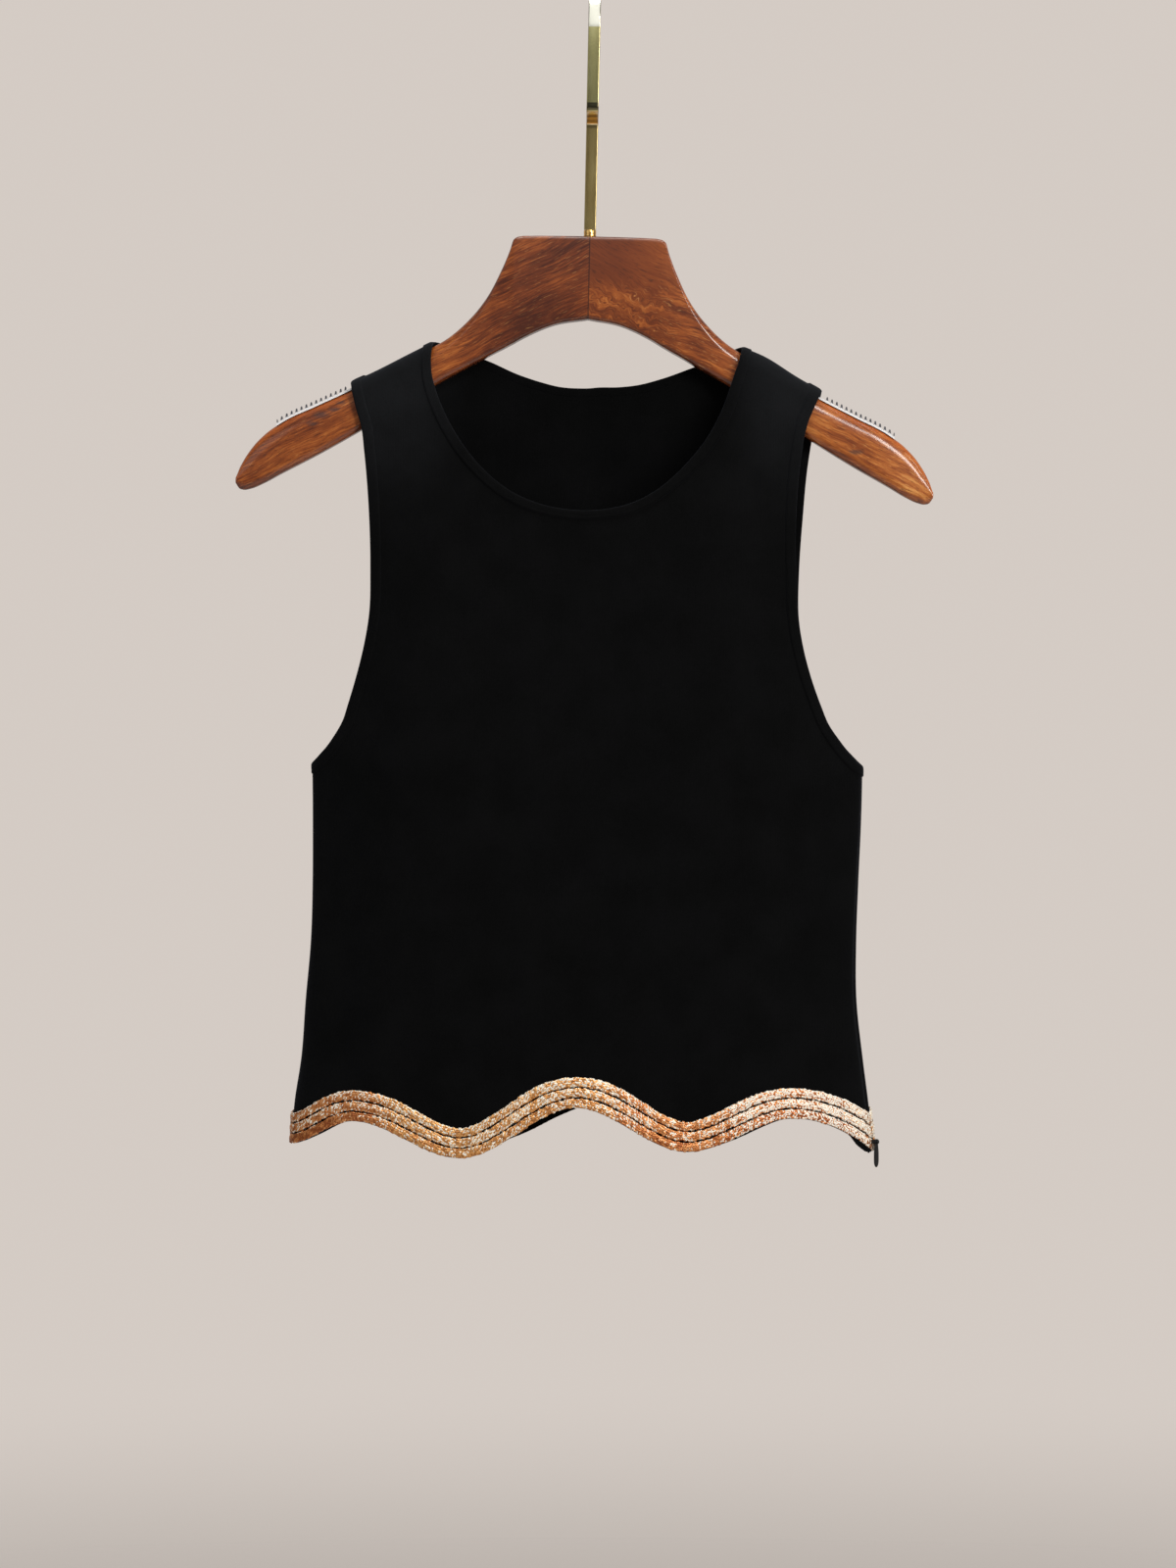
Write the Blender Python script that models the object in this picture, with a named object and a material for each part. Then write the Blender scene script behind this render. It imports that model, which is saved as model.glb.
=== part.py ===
"""A cropped sleeveless knit top hanging on a wooden hanger with a flat brass hook.

The cloth is one hollow tube up to the underarms. Above them the front and the back go on as two
sheets that meet over the hanger's arms. Every sewn piece is worked out in the unfolded cloth, by
how far round it lies (arc) and how high it lies (height), and cloth_points then hangs it.

Sizes are in millimetres. +Z is up, the front faces -Y, and +X is the wearer's left.
The origin is the top of the hook's inside, where the rail would carry it.
"""

import math

import bmesh
import bpy
import numpy as np
from mathutils import Vector

MM = 0.001
FRONT = -1.0
BACK = 1.0


class Table:
    """Rows of sizes under named columns. The first column is the one they are read by."""

    def __init__(self, names, rows):
        values = np.array(sorted(rows), dtype=float).T
        self.columns = dict(zip(names.split(), values))
        self.keys = values[0]

    def __getitem__(self, name):
        return self.columns[name]

    def smooth(self, name, at):
        """A curve through the rows, with the slope at each row taken from its neighbours."""
        return hermite(self.keys, self[name], np.gradient(self[name], self.keys), at)

    def waves(self, name, at):
        """A wave through the rows, with the slope at each row in the column called tilt."""
        return hermite(self.keys, self[name], self["tilt"], at)


def hermite(keys, values, slopes, at):
    at = np.clip(at, keys[0], keys[-1])
    low = np.clip(np.searchsorted(keys, at, side="right") - 1, 0, len(keys) - 2)
    span = keys[low + 1] - keys[low]
    t = (at - keys[low]) / span
    near = values[low] * (1 + 2 * t) + slopes[low] * span * t
    far = values[low + 1] * (3 - 2 * t) - slopes[low + 1] * span * (1 - t)
    return near * (1 - t) ** 2 + far * t ** 2


def smoothstep(value):
    t = np.clip(value, 0.0, 1.0)
    return t * t * (3 - 2 * t)


# ---- how the whole thing hangs ----

ROLL = math.radians(1.25)          # the hanger leans, its +X arm lower
ROLL_ENDS = (-270.0, -440.0)       # the cloth follows the lean above these heights, and not below
SHIFT_HEIGHT = -234.0              # below it the cloth hangs straight down
SLIDE_START = 30.0                 # the cloth's slide grows over this length below the shoulder seam

# ---- the cloth ----

WALL = 2.0
SEAM_GAP = 0.3
LAY_GAP = 0.3                      # between a panel and what lies on it

# Cross-sections of the tube. The side creases lie at -minus_x and +plus_x, the front and the back
# bow out by depth. The cloth has slid round the tube, the front towards -X and the back towards
# +X, and below the underarms by the same length.
SECTIONS = Table("height minus_x plus_x depth front_slide back_slide", (
    (-206.0, 158.2, 158.2, 14.0, 2.8, 2.6),
    (-270.0, 158.2, 158.2, 16.5, 2.8, 2.6),
    (-300.0, 158.2, 158.2, 18.0, 2.8, 2.2),
    (-345.0, 158.2, 158.2, 20.0, 2.6, -0.2),
    (-400.0, 158.2, 158.2, 21.5, 2.2, -0.6),
    (-447.0, 158.0, 158.2, 23.0, 0.9, 0.9),
    (-482.0, 157.4, 157.4, 23.5, 1.6, 1.6),
    (-515.0, 157.2, 155.8, 24.0, 2.3, 2.3),
    (-549.0, 158.0, 154.6, 24.5, 3.0, 3.0),
    (-583.0, 161.4, 154.6, 25.5, 3.5, 3.5),
    (-617.0, 164.4, 157.2, 27.0, 3.8, 3.8),
    (-642.0, 167.4, 161.6, 28.5, 4.0, 4.0),
    (-675.0, 169.2, 165.4, 29.5, 4.2, 4.2),
))

# The lower edge's crests and troughs. Place runs from -1 at one side seam to 1 at the other, and
# tilt is how steeply the edge falls there.
HEM = Table("place front back tilt", (
    (-1.000, -662.8, -662.8, -60.0),
    (-0.740, -651.2, -651.2, 0.0),
    (-0.385, -670.8, -670.5, 0.0),
    (0.000, -642.0, -646.5, 0.0),
    (0.385, -667.8, -671.0, 0.0),
    (0.740, -650.0, -652.0, 0.0),
    (1.000, -670.4, -670.4, -140.0),
))

# The armhole's edge: how wide the cloth still is, as it rises above the underarm.
UNDERARM = -446.6
ARMHOLE = Table("rise half_width", (
    (0.0, 158.2),
    (7.5, 150.3),
    (16.0, 143.6),
    (24.3, 138.5),
    (32.7, 135.4),
    (49.6, 129.8),
    (66.5, 125.3),
    (83.3, 122.3),
    (110.0, 121.4),
    (142.0, 122.2),
    (176.0, 124.8),
    (190.0, 125.6),
    (205.0, 128.8),
    (223.3, 134.3),
))

# The shoulder line over the hanger's arm, and the round that the cloth makes over it.
NECK_HALF_WIDTH = 89.3
SHOULDER_TOP = -206.0              # the cloth's top at the neck's side
SHOULDER_FALL = 0.499              # how fast it falls outwards
OVER_ARM = 9.6                     # outer radius of the round
DRAPE_LENGTH = 110.0               # below the round, over which the cloth spreads into the tube
QUARTER_TURN = OVER_ARM * math.pi / 2

NECK_DROP = {FRONT: 101.8, BACK: 30.0}
NECK_POWER = {FRONT: 1.94, BACK: 1.45}
NECK_SIDE_SHARE = 0.6875           # the part of the drop that the strap's side takes

NECK_BAND_WIDTH = 5.5
ARM_BAND_WIDTH = 6.5
BAND_INSIDE = -2.0                 # the bands reach from here, just inside the wall,
BAND_OUTSIDE = 1.0                 # to here, proud of it
BAND_SIDES = 8

TRIM_ROWS = 3
TRIM_WIDTH = 5.6
TRIM_PITCH = 6.1
TRIM_THICKNESS = 1.1
TRIM_CROWN = 0.5
TRIM_END_GAP = 2.6                 # clear of the side seams and of the zip's slider

ZIP_WIDTH = 8.1                    # of the tape, each side of the seam
ZIP_TOP = -486.0
ZIP_DEPTH = (-2.4, -3.2)           # where the tape lies under the outer side

# Soft folds: a trough or ridge from its upper end to its lower end. Place is the share of the
# half girth, width is how far it fades sideways, and depth is outwards when positive.
FOLD_COLUMNS = "side top_place top_height low_place low_height width depth"
FOLDS = (
    (FRONT, -0.90, -452.0, -0.86, -560.0, 16.0, -2.6),
    (FRONT, -0.84, -560.0, -0.80, -632.0, 16.0, -2.4),
    (FRONT, 0.80, -470.0, 0.74, -590.0, 20.0, -3.0),
    (FRONT, 0.26, -575.0, 0.20, -640.0, 18.0, -2.4),
    (FRONT, -0.52, -300.0, -0.62, -470.0, 24.0, 2.4),
    (FRONT, 0.52, -300.0, 0.60, -460.0, 24.0, 2.2),
    (FRONT, 0.00, -330.0, -0.05, -520.0, 34.0, -2.4),
    (BACK, 0.88, -455.0, 0.82, -580.0, 17.0, -2.6),
    (BACK, -0.84, -470.0, -0.78, -600.0, 20.0, -2.8),
    (BACK, 0.50, -290.0, 0.56, -480.0, 24.0, 2.4),
    (BACK, -0.50, -290.0, -0.58, -480.0, 24.0, 2.2),
    (BACK, 0.04, -300.0, 0.00, -500.0, 34.0, -2.4),
    (BACK, -0.24, -570.0, -0.20, -640.0, 18.0, -2.2),
)
FOLD_FADE = 40.0                   # length over which a fold dies away at its ends
FOLD_EDGE = 0.10                   # share of the half girth over which it dies at a side seam

# ---- how finely the cloth is divided ----

HALF_COLUMNS = 15
CROWDING = 0.75                    # draws the columns towards the side creases
SIDE_COLUMNS = 3                   # end on the armhole's lower curve
STRAP_COLUMNS = 7
BODY_ROWS = 8
CHEST_ROWS = 6
STRAP_ROWS = 8
STRAP_RISE = 140.0                 # above the underarm, where the straps begin

# ---- the hanger ----

HANGER_HALF = 200.0
HANGER_THICK = 12.0
HANGER_TIP_THICK = 8.0
JOINT_GAP = 0.3
TOP_ROUND = 5.2
LOW_ROUND = 3.4
ROUND_STEPS = 3
HANGER = Table("out top low", (
    (0.0, -143.6, -191.2),
    (20.0, -143.8, -194.9),
    (34.0, -144.1, -201.0),
    (40.0, -144.6, -204.3),
    (44.0, -147.5, -206.7),
    (48.0, -157.5, -208.9),
    (52.0, -167.6, -211.0),
    (56.0, -175.8, -213.2),
    (62.0, -185.2, -216.7),
    (70.0, -194.5, -221.1),
    (80.0, -203.4, -226.8),
    (90.0, -209.6, -232.9),
    (112.0, -221.6, -246.8),
    (135.0, -234.4, -261.3),
    (155.0, -244.2, -273.0),
    (175.0, -254.2, -283.9),
    (185.0, -261.6, -289.6),
    (192.0, -269.3, -292.7),
    (197.0, -277.2, -293.4),
    (199.6, -283.6, -291.4),
))

GRIP_START = 122.0
GRIP_END = 178.0
GRIP_PITCH = 2.8
GRIP_BASE = 0.8
GRIP_TALL = 3.6                    # where the cloth leaves it free
GRIP_LOW = 1.1                     # under the cloth, where it is pressed down
GRIP_FREE_FROM = 139.0
GRIP_RAMP = 2.0

HOOK_WIDTH = 6.5
HOOK_THICK = 3.0
HOOK_RADIUS = 22.0                 # inside
HOOK_TIP = -34.0
JOGGLE_LOW = -79.0
JOGGLE_HIGH = -71.0
JOGGLE_ROUND = 5.0
COLLAR_TOP = -139.5
COLLAR_RADIUS = 3.55
PIN_RADIUS = 2.0
PIN_END = -157.0
PIN_CLEAR = 0.3
ROUND_SIDES = 16

# ---- the zip's slider and pull tab ----

SLIDER_HEIGHT = -664.5
SLIDER_OFF = 0.4                   # clear of the cloth
SLIDER_SIZE = (4.2, 2.2, 7.0)      # across, outwards, up
EAR_THICK = 0.8
EAR_REACH = 5.6
EAR_TALL = 2.8
BAIL_OUT = 4.7                     # from the cloth to the bail's middle
BAIL_RADIUS = 0.6
EYE_BORE = 0.95
EYE_RADIUS = 1.7
EYE_WIDTH = 2.1
PULL_LENGTH = 14.5
PULL_HALF_WIDTH = 2.5
PULL_THICK = 1.0

# ---- materials: colour, roughness, metallic ----

FINISHES = {
    "knit": ((0.006, 0.006, 0.008, 1.0), 0.85, 0.0),
    "rib": ((0.008, 0.008, 0.010, 1.0), 0.80, 0.0),
    "gold_braid": ((0.72, 0.38, 0.14, 1.0), 0.35, 0.9),
    "zip_tape": ((0.012, 0.012, 0.013, 1.0), 0.80, 0.0),
    "zip_black": ((0.012, 0.012, 0.013, 1.0), 0.40, 0.0),
    "walnut_lacquer": ((0.30, 0.085, 0.035, 1.0), 0.22, 0.0),
    "brass": ((0.80, 0.66, 0.36, 1.0), 0.18, 1.0),
    "clear_grip": ((0.82, 0.85, 0.88, 1.0), 0.25, 0.0),
}


def make_material(name):
    colour, roughness, metallic = FINISHES[name]
    material = bpy.data.materials.get(name) or bpy.data.materials.new(name)
    material.use_nodes = True
    shader = material.node_tree.nodes["Principled BSDF"]
    shader.inputs["Base Color"].default_value = colour
    shader.inputs["Roughness"].default_value = roughness
    shader.inputs["Metallic"].default_value = metallic
    return material


def add_object(name, points, faces, finish, smooth_angle=35.0):
    """A closed body from points in millimetres, with its faces turned outwards."""
    mesh = bpy.data.meshes.new(name)
    mesh.from_pydata([tuple(point) for point in np.asarray(points) * MM], [], faces)
    shape = bmesh.new()
    shape.from_mesh(mesh)
    bmesh.ops.recalc_face_normals(shape, faces=shape.faces)
    shape.to_mesh(mesh)
    shape.free()
    mesh.shade_smooth()
    mesh.set_sharp_from_angle(angle=math.radians(smooth_angle))
    mesh.materials.append(make_material(finish))
    item = bpy.data.objects.new(name, mesh)
    bpy.context.scene.collection.objects.link(item)
    return item


# ---- the cloth's shape ----

GAUSS_AT, GAUSS_WEIGHT = np.polynomial.legendre.leggauss(16)
GAUSS_AT = (GAUSS_AT + 1) / 2
GAUSS_WEIGHT = GAUSS_WEIGHT / 2


def arc_to(angle, width, depth):
    """The length round an ellipse from its front to an angle: 16-point Gauss quadrature."""
    angle, width, depth = np.broadcast_arrays(angle, width, depth)
    part = angle[..., None] * GAUSS_AT
    pace = np.hypot(width[..., None] * np.cos(part), depth[..., None] * np.sin(part))
    return angle * (pace @ GAUSS_WEIGHT)


def angle_at(arc, width, depth):
    """The angle whose arc length is given, by Newton steps."""
    angle = arc / arc_to(math.pi / 2, width, depth) * math.pi / 2
    for _ in range(12):
        pace = np.hypot(width * np.cos(angle), depth * np.sin(angle))
        step = (arc_to(angle, width, depth) - arc) / pace
        angle = angle - np.clip(step, -0.2, 0.2)
    return angle


def half_width(side, height):
    minus, plus = SECTIONS.smooth("minus_x", height), SECTIONS.smooth("plus_x", height)
    return np.where(side < 0, minus, plus)


def half_girth(side, height):
    """From the middle of the front or back to the side crease."""
    return arc_to(math.pi / 2, half_width(side, height), SECTIONS.smooth("depth", height))


def arc_at_width(reach, height):
    """The arc at which the cloth lies a given distance from the middle, as seen from the front."""
    width = half_width(reach, height)
    angle = np.arcsin(np.clip(reach / width, -1.0, 1.0))
    return arc_to(angle, width, SECTIONS.smooth("depth", height))


def shoulder_height(reach):
    """The cloth's top over the hanger's arm."""
    return SHOULDER_TOP - SHOULDER_FALL * (np.abs(reach) - NECK_HALF_WIDTH)


def seam_height(reach):
    """The shoulder seam in the unfolded cloth: the top, and the round's longer way over it."""
    return shoulder_height(reach) + QUARTER_TURN - OVER_ARM


def fold_offset(arc, height, face):
    """How far the soft folds push the cloth out: bells across each fold's line, faded at its ends."""
    place = arc / half_girth(arc, height)
    offset = np.zeros_like(place)
    for row in FOLDS:
        fold = dict(zip(FOLD_COLUMNS.split(), row))
        if fold["side"] != face:
            continue
        along = (fold["top_height"] - height) / (fold["top_height"] - fold["low_height"])
        line = fold["top_place"] + (fold["low_place"] - fold["top_place"]) * along
        across = (place - line) * half_girth(arc, height) / fold["width"]
        ends = smoothstep((fold["top_height"] - height) / FOLD_FADE + 0.5)
        ends = ends * smoothstep((height - fold["low_height"]) / FOLD_FADE + 0.5)
        offset = offset + fold["depth"] * ends * np.exp(-across ** 2)
    return offset * smoothstep((1 - np.abs(place)) / FOLD_EDGE)


def hang(arc, height, face):
    """Hangs points of the unfolded cloth, and returns where its outer side lies."""
    depth = SECTIONS.smooth("depth", height)
    width = half_width(arc, height)
    slide = SECTIONS.smooth("front_slide" if face == FRONT else "back_slide", height)
    slide = slide * smoothstep((seam_height(arc) - height) / SLIDE_START)
    angle = angle_at(arc + face * slide, width, depth)
    x = width * np.sin(angle)
    spread = depth * np.cos(angle)
    below = seam_height(x) - height
    turn = np.minimum(below, QUARTER_TURN) / OVER_ARM
    eased = smoothstep((below - QUARTER_TURN) / DRAPE_LENGTH)
    free = OVER_ARM + (spread - OVER_ARM) * eased + eased * fold_offset(arc, height, face)
    out = np.where(below < QUARTER_TURN, OVER_ARM * np.sin(turn), free)
    rounded = shoulder_height(x) - OVER_ARM * (1 - np.cos(turn))
    z = np.where(below < QUARTER_TURN, rounded, height)
    lean = smoothstep((height - ROLL_ENDS[1]) / (ROLL_ENDS[0] - ROLL_ENDS[1]))
    z = z - x * math.tan(ROLL) * lean
    x = x + math.tan(ROLL) * np.maximum(z, SHIFT_HEIGHT)
    return np.stack((x, face * out, z), axis=-1)


def cloth_normals(arc, height, face, step=0.4):
    """The outward direction, from the points a short step away each way."""
    along = hang(arc + step, height, face) - hang(arc - step, height, face)
    up = hang(arc, height + step, face) - hang(arc, height - step, face)
    normal = np.cross(along, up) * -face
    return normal / np.linalg.norm(normal, axis=-1, keepdims=True)


def cloth_points(arc, height, face, out=0.0):
    """Points of the hung cloth, moved out from its outer side by out."""
    arc, height, out = np.broadcast_arrays(np.asarray(arc, float), height, out)
    return hang(arc, height, face) + cloth_normals(arc, height, face) * out[..., None]


# ---- edges in the unfolded cloth ----

class Curve:
    """A smooth curve in the unfolded cloth, read by its length."""

    def __init__(self, points, start_length=0.0):
        points = np.asarray(points)
        steps = np.linalg.norm(np.diff(points, axis=0), axis=1)
        self.keys = np.concatenate(((0.0,), np.cumsum(steps))) - start_length
        self.points = points
        self.slopes = np.gradient(points, self.keys, axis=0)
        self.length = self.keys[-1]

    def at(self, length):
        pair = [hermite(self.keys, self.points[:, i], self.slopes[:, i], length) for i in (0, 1)]
        return np.stack(pair, axis=-1)

    def tangent(self, length, step=0.5):
        ahead = self.at(np.minimum(length + step, self.length))
        way = ahead - self.at(length - step)
        return way / np.linalg.norm(way, axis=-1, keepdims=True)


def armhole_curve(side):
    """The armhole's edge from the underarm to the shoulder seam, arcs counted positive.

    The rows are repeated mirrored below the underarm, so that the curve crosses the side seam
    square to it.
    """
    height = UNDERARM + ARMHOLE["rise"]
    reach = ARMHOLE["half_width"] / ARMHOLE["half_width"][0] * half_width(side, height)
    height = np.append(height[:-1], seam_height(reach[-1]))
    arc = np.abs(arc_at_width(side * reach, height))
    mirrored = slice(3, 0, -1)
    arcs = np.concatenate((2 * arc[0] - arc[mirrored], arc))
    heights = np.concatenate((height[mirrored], height))
    points = np.stack((arcs, heights), axis=-1)
    before = np.linalg.norm(np.diff(points[:4], axis=0), axis=1).sum()
    return Curve(points, before)


def armhole_edge(side, length, inset):
    """The armhole's edge moved into the cloth. Near the shoulder it moves along the seam."""
    curve = armhole_curve(side)
    tangent = curve.tangent(length)
    into = np.stack((-tangent[..., 1], tangent[..., 0]), axis=-1)
    seam = np.array((-1.0, SHOULDER_FALL))
    lean = (tangent @ seam) / (into @ seam) * smoothstep((length - curve.length) / 30.0 + 1.0)
    points = curve.at(length) + (into + tangent * lean[..., None]) * inset
    return points * (side, 1.0)


def neck_edge(face, angle, grow):
    """The neck's edge: a superellipse from one shoulder seam to the other, grown into the cloth.

    Angle runs from 0 at the seam on +X through a right angle at the middle to 180 degrees.
    """
    power = 2.0 / NECK_POWER[face]
    across, down = np.cos(angle), np.abs(np.sin(angle))
    reach = (NECK_HALF_WIDTH + grow) * np.sign(across) * np.abs(across) ** power
    drop = (NECK_DROP[face] + grow) * down ** power + SHOULDER_FALL * grow * across ** 2
    height = seam_height(NECK_HALF_WIDTH) - drop
    return np.stack((arc_at_width(reach, height), height), axis=-1)


def neck_angles(face):
    """The angles of the neck's points: up one strap's side, round the bottom, up the other."""
    shares = NECK_SIDE_SHARE * strap_shares()
    side = np.arcsin(shares ** (NECK_POWER[face] / 2))
    steps = 2 * (HALF_COLUMNS - SIDE_COLUMNS - STRAP_COLUMNS)
    bottom = np.linspace(side[0], math.pi - side[0], steps + 1)
    return side, bottom


def strap_shares():
    """How far below the seam each strap row lies, from 1 at the strap's foot to 0 at the seam.

    The rows draw together over the hanger's arm.
    """
    return (1 - np.linspace(0, 1, STRAP_ROWS + 1)) ** 1.6


def hem_height(place, face, above=0.0):
    """The wavy lower edge, or the line that runs parallel to it a given distance above."""
    name = "front" if face == FRONT else "back"
    step = 0.004
    slope = (HEM.waves(name, place + step) - HEM.waves(name, place - step)) / (2 * step)
    slope = slope / half_girth(place, SLIDER_HEIGHT)
    return HEM.waves(name, place) + above * np.sqrt(1 + slope ** 2)


# ---- the two panels ----

def column_places():
    """Where the columns stand, as shares of the half girth, closer towards the creases."""
    even = np.linspace(-1, 1, 2 * HALF_COLUMNS + 1)
    return (1 - CROWDING) * even + CROWDING * np.sin(even * math.pi / 2)


def armhole_lengths(side):
    """The lengths along the armhole at which the panels and the bands have their points."""
    curve = armhole_curve(side)
    dense = np.linspace(0.0, 60.0, 241)
    inset = np.abs(armhole_edge(side, dense, ARM_BAND_WIDTH + SEAM_GAP)[:, 0])
    foot = half_girth(side, UNDERARM)
    places = column_places()[::-1][:SIDE_COLUMNS + 1]
    low = np.interp(-foot * places, -inset, dense)
    low[0] = 0.0
    strap_foot = np.interp(UNDERARM + STRAP_RISE, curve.points[:, 1], curve.keys)
    share = np.linspace(0, 1, CHEST_ROWS + 1)[1:] ** 1.25
    chest = low[-1] + (strap_foot - low[-1]) * share
    strap = curve.length - (curve.length - strap_foot) * strap_shares()[1:]
    return low, chest, strap


def coons(bottom, top, left, right):
    """Fills four edges with a grid: the two ruled surfaces, less the one through the corners."""
    u = np.linspace(0, 1, len(bottom))[None, :, None]
    v = np.linspace(0, 1, len(left))[:, None, None]
    ruled = (1 - v) * bottom[None] + v * top[None] + (1 - u) * left[:, None] + u * right[:, None]
    low = (1 - u) * bottom[0] + u * bottom[-1]
    high = (1 - u) * top[0] + u * top[-1]
    return ruled - (1 - v) * low - v * high


class Patchwork:
    """Grids of the unfolded cloth joined where they share points."""

    def __init__(self):
        self.points = []
        self.faces = []
        self.index = {}

    def corner(self, point):
        key = (round(float(point[0]), 4), round(float(point[1]), 4))
        if key not in self.index:
            self.index[key] = len(self.points)
            self.points.append(point)
        return self.index[key]

    def add(self, grid):
        corners = [[self.corner(point) for point in row] for row in grid]
        for low, high in zip(corners, corners[1:]):
            for i in range(len(low) - 1):
                self.faces.append((low[i], low[i + 1], high[i + 1], high[i]))


def panel_grids(face):
    """The grids of one panel: its body, chest and two straps."""
    inset = ARM_BAND_WIDTH + SEAM_GAP
    edges = {}
    for side in (-1.0, 1.0):
        lengths = np.concatenate(armhole_lengths(side))
        edge = armhole_edge(side, lengths, inset)
        edge[0, 0] = side * (half_girth(side, edge[0, 1]) - SEAM_GAP / 2)
        edge[-1, 1] -= SEAM_GAP / 2
        edges[side] = edge
    first, chest_end = SIDE_COLUMNS, SIDE_COLUMNS + CHEST_ROWS

    places = column_places()
    middle = slice(first, len(places) - first)
    shelf = edges[1.0][first, 1]
    top_height = np.full(len(places), shelf)
    top_height[:first + 1] = edges[-1.0][:first + 1, 1]
    top_height[len(places) - first - 1:] = edges[1.0][:first + 1, 1][::-1]
    trim_lines = [row * TRIM_PITCH for row in range(TRIM_ROWS)]
    trim_lines.append(trim_lines[-1] + TRIM_WIDTH)
    rows = [hem_height(places, face, above) for above in trim_lines]
    for share in np.linspace(0, 1, BODY_ROWS + 1)[1:]:
        rows.append(rows[len(trim_lines) - 1] * (1 - share) + top_height * share)
    rows = np.array(rows)
    girth = half_girth(places, rows) - SEAM_GAP / 2
    body = np.stack((places * girth, rows), axis=-1)
    foot_row = body[-1]
    foot_row[:first + 1] = edges[-1.0][:first + 1]
    foot_row[len(places) - first - 1:] = edges[1.0][:first + 1][::-1]

    grow = NECK_BAND_WIDTH + SEAM_GAP
    side_angles, bottom_angles = neck_angles(face)
    neck_bottom = neck_edge(face, bottom_angles[::-1], grow)
    neck_sides = {1.0: neck_edge(face, side_angles, grow)}
    neck_sides[-1.0] = neck_edge(face, math.pi - side_angles, grow)
    for side in (-1.0, 1.0):
        neck_sides[side][-1, 1] -= SEAM_GAP / 2

    share = np.linspace(0, 1, STRAP_COLUMNS + 1)[:, None]
    feet, tops = {}, {}
    for side in (-1.0, 1.0):
        outer, inner = edges[side][chest_end], neck_sides[side][0]
        feet[side] = outer * (1 - share) + inner * share
        tops[side] = edges[side][-1] * (1 - share) + neck_sides[side][-1] * share
    chest_top = np.concatenate((feet[-1.0], neck_bottom[1:-1], feet[1.0][::-1]))
    chest = coons(foot_row[middle], chest_top,
                  edges[-1.0][first:chest_end + 1], edges[1.0][first:chest_end + 1])
    straps = []
    for side in (-1.0, 1.0):
        strap = coons(feet[side], tops[side], edges[side][chest_end:], neck_sides[side])
        straps.append(strap if side < 0 else strap[:, ::-1])
    return [body, chest] + straps


def shell(sheet_faces, outer, inner):
    """Closes an outer and an inner sheet of like points with a rim round every free edge."""
    count = len(outer)
    faces = list(sheet_faces)
    faces += [tuple(count + i for i in reversed(face)) for face in sheet_faces]
    edges = {}
    for face in sheet_faces:
        for start, end in zip(face, face[1:] + face[:1]):
            edges[(start, end)] = True
    for start, end in edges:
        if (end, start) not in edges:
            faces.append((end, start, count + start, count + end))
    return np.concatenate((outer, inner)), faces


def add_panel(name, face):
    work = Patchwork()
    for grid in panel_grids(face):
        work.add(grid)
    arc, height = np.array(work.points).T
    outer = cloth_points(arc, height, face)
    inner = cloth_points(arc, height, face, -WALL)
    points, faces = shell(work.faces, outer, inner)
    return add_object(name, points, faces, "knit", 60.0)


# ---- bands, trim and zip tape ----

def ring_faces(stations, sides, closed):
    """Faces of a tube whose stations each have the same number of points."""
    faces = []
    for i in range(stations if closed else stations - 1):
        a, b = i * sides, (i + 1) % stations * sides
        for j in range(sides):
            k = (j + 1) % sides
            faces.append((a + j, a + k, b + k, b + j))
    if not closed:
        faces.append(tuple(range(sides)))
        faces.append(tuple(range((stations - 1) * sides, stations * sides)))
    return faces


def band_section(width):
    """The band's cross-section: a superellipse, given as how far in and how far out."""
    angle = np.arange(BAND_SIDES) * 2 * math.pi / BAND_SIDES
    power = 0.7
    across = np.sign(np.cos(angle)) * np.abs(np.cos(angle)) ** power
    out = np.sign(np.sin(angle)) * np.abs(np.sin(angle)) ** power
    middle, half = (BAND_OUTSIDE + BAND_INSIDE) / 2, (BAND_OUTSIDE - BAND_INSIDE) / 2
    return width / 2 * (1 + across), middle + half * out


def add_band(name, stations, section):
    """A closed band. Each station gives its point of the unfolded cloth at a distance in."""
    rings = []
    for face, edge in stations:
        ring = [cloth_points(*edge(inset), face, out) for inset, out in zip(*section)]
        rings.append(np.array(ring))
    points = np.concatenate(rings)
    return add_object(name, points, ring_faces(len(rings), BAND_SIDES, True), "rib")


def armhole_stations(side):
    """Up the front from the underarm, over the shoulder and down the back."""
    lengths = np.concatenate(armhole_lengths(side))

    def edge_at(length):
        return lambda inset: armhole_edge(side, np.array(length), inset)

    front = [(FRONT, edge_at(length)) for length in lengths]
    back = [(BACK, edge_at(length)) for length in lengths[-2:0:-1]]
    return front + back


def neck_stations():
    """Round the front from the seam on +X, and round the back to it again."""
    stations = []
    for face in (FRONT, BACK):
        side, bottom = neck_angles(face)
        angles = np.concatenate((side[::-1], bottom[1:-1], math.pi - side))
        if face == BACK:
            angles = angles[-2:0:-1]
        for angle in angles:
            stations.append((face, lambda grow, f=face, a=angle: neck_edge(f, np.array(a), grow)))
    return stations


def add_trim_row(name, face, row):
    """One row of the hem's trim: a low crowned strip from one side seam to the other."""
    places = column_places()
    for end, side in ((0, -1.0), (-1, 1.0)):
        places[end] = side * (1 - TRIM_END_GAP / half_girth(side, SLIDER_HEIGHT))
    low = row * TRIM_PITCH
    rise = LAY_GAP + TRIM_THICKNESS
    section = ((low, LAY_GAP), (low + TRIM_WIDTH, LAY_GAP), (low + TRIM_WIDTH, rise),
               (low + TRIM_WIDTH / 2, rise + TRIM_CROWN), (low, rise))
    lines = []
    for above, out in section:
        height = hem_height(places, face, above)
        lines.append(cloth_points(places * half_girth(places, height), height, face, out))
    points = np.stack(lines, axis=1).reshape(-1, 3)
    return add_object(name, points, ring_faces(len(places), len(section), False), "gold_braid")


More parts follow.
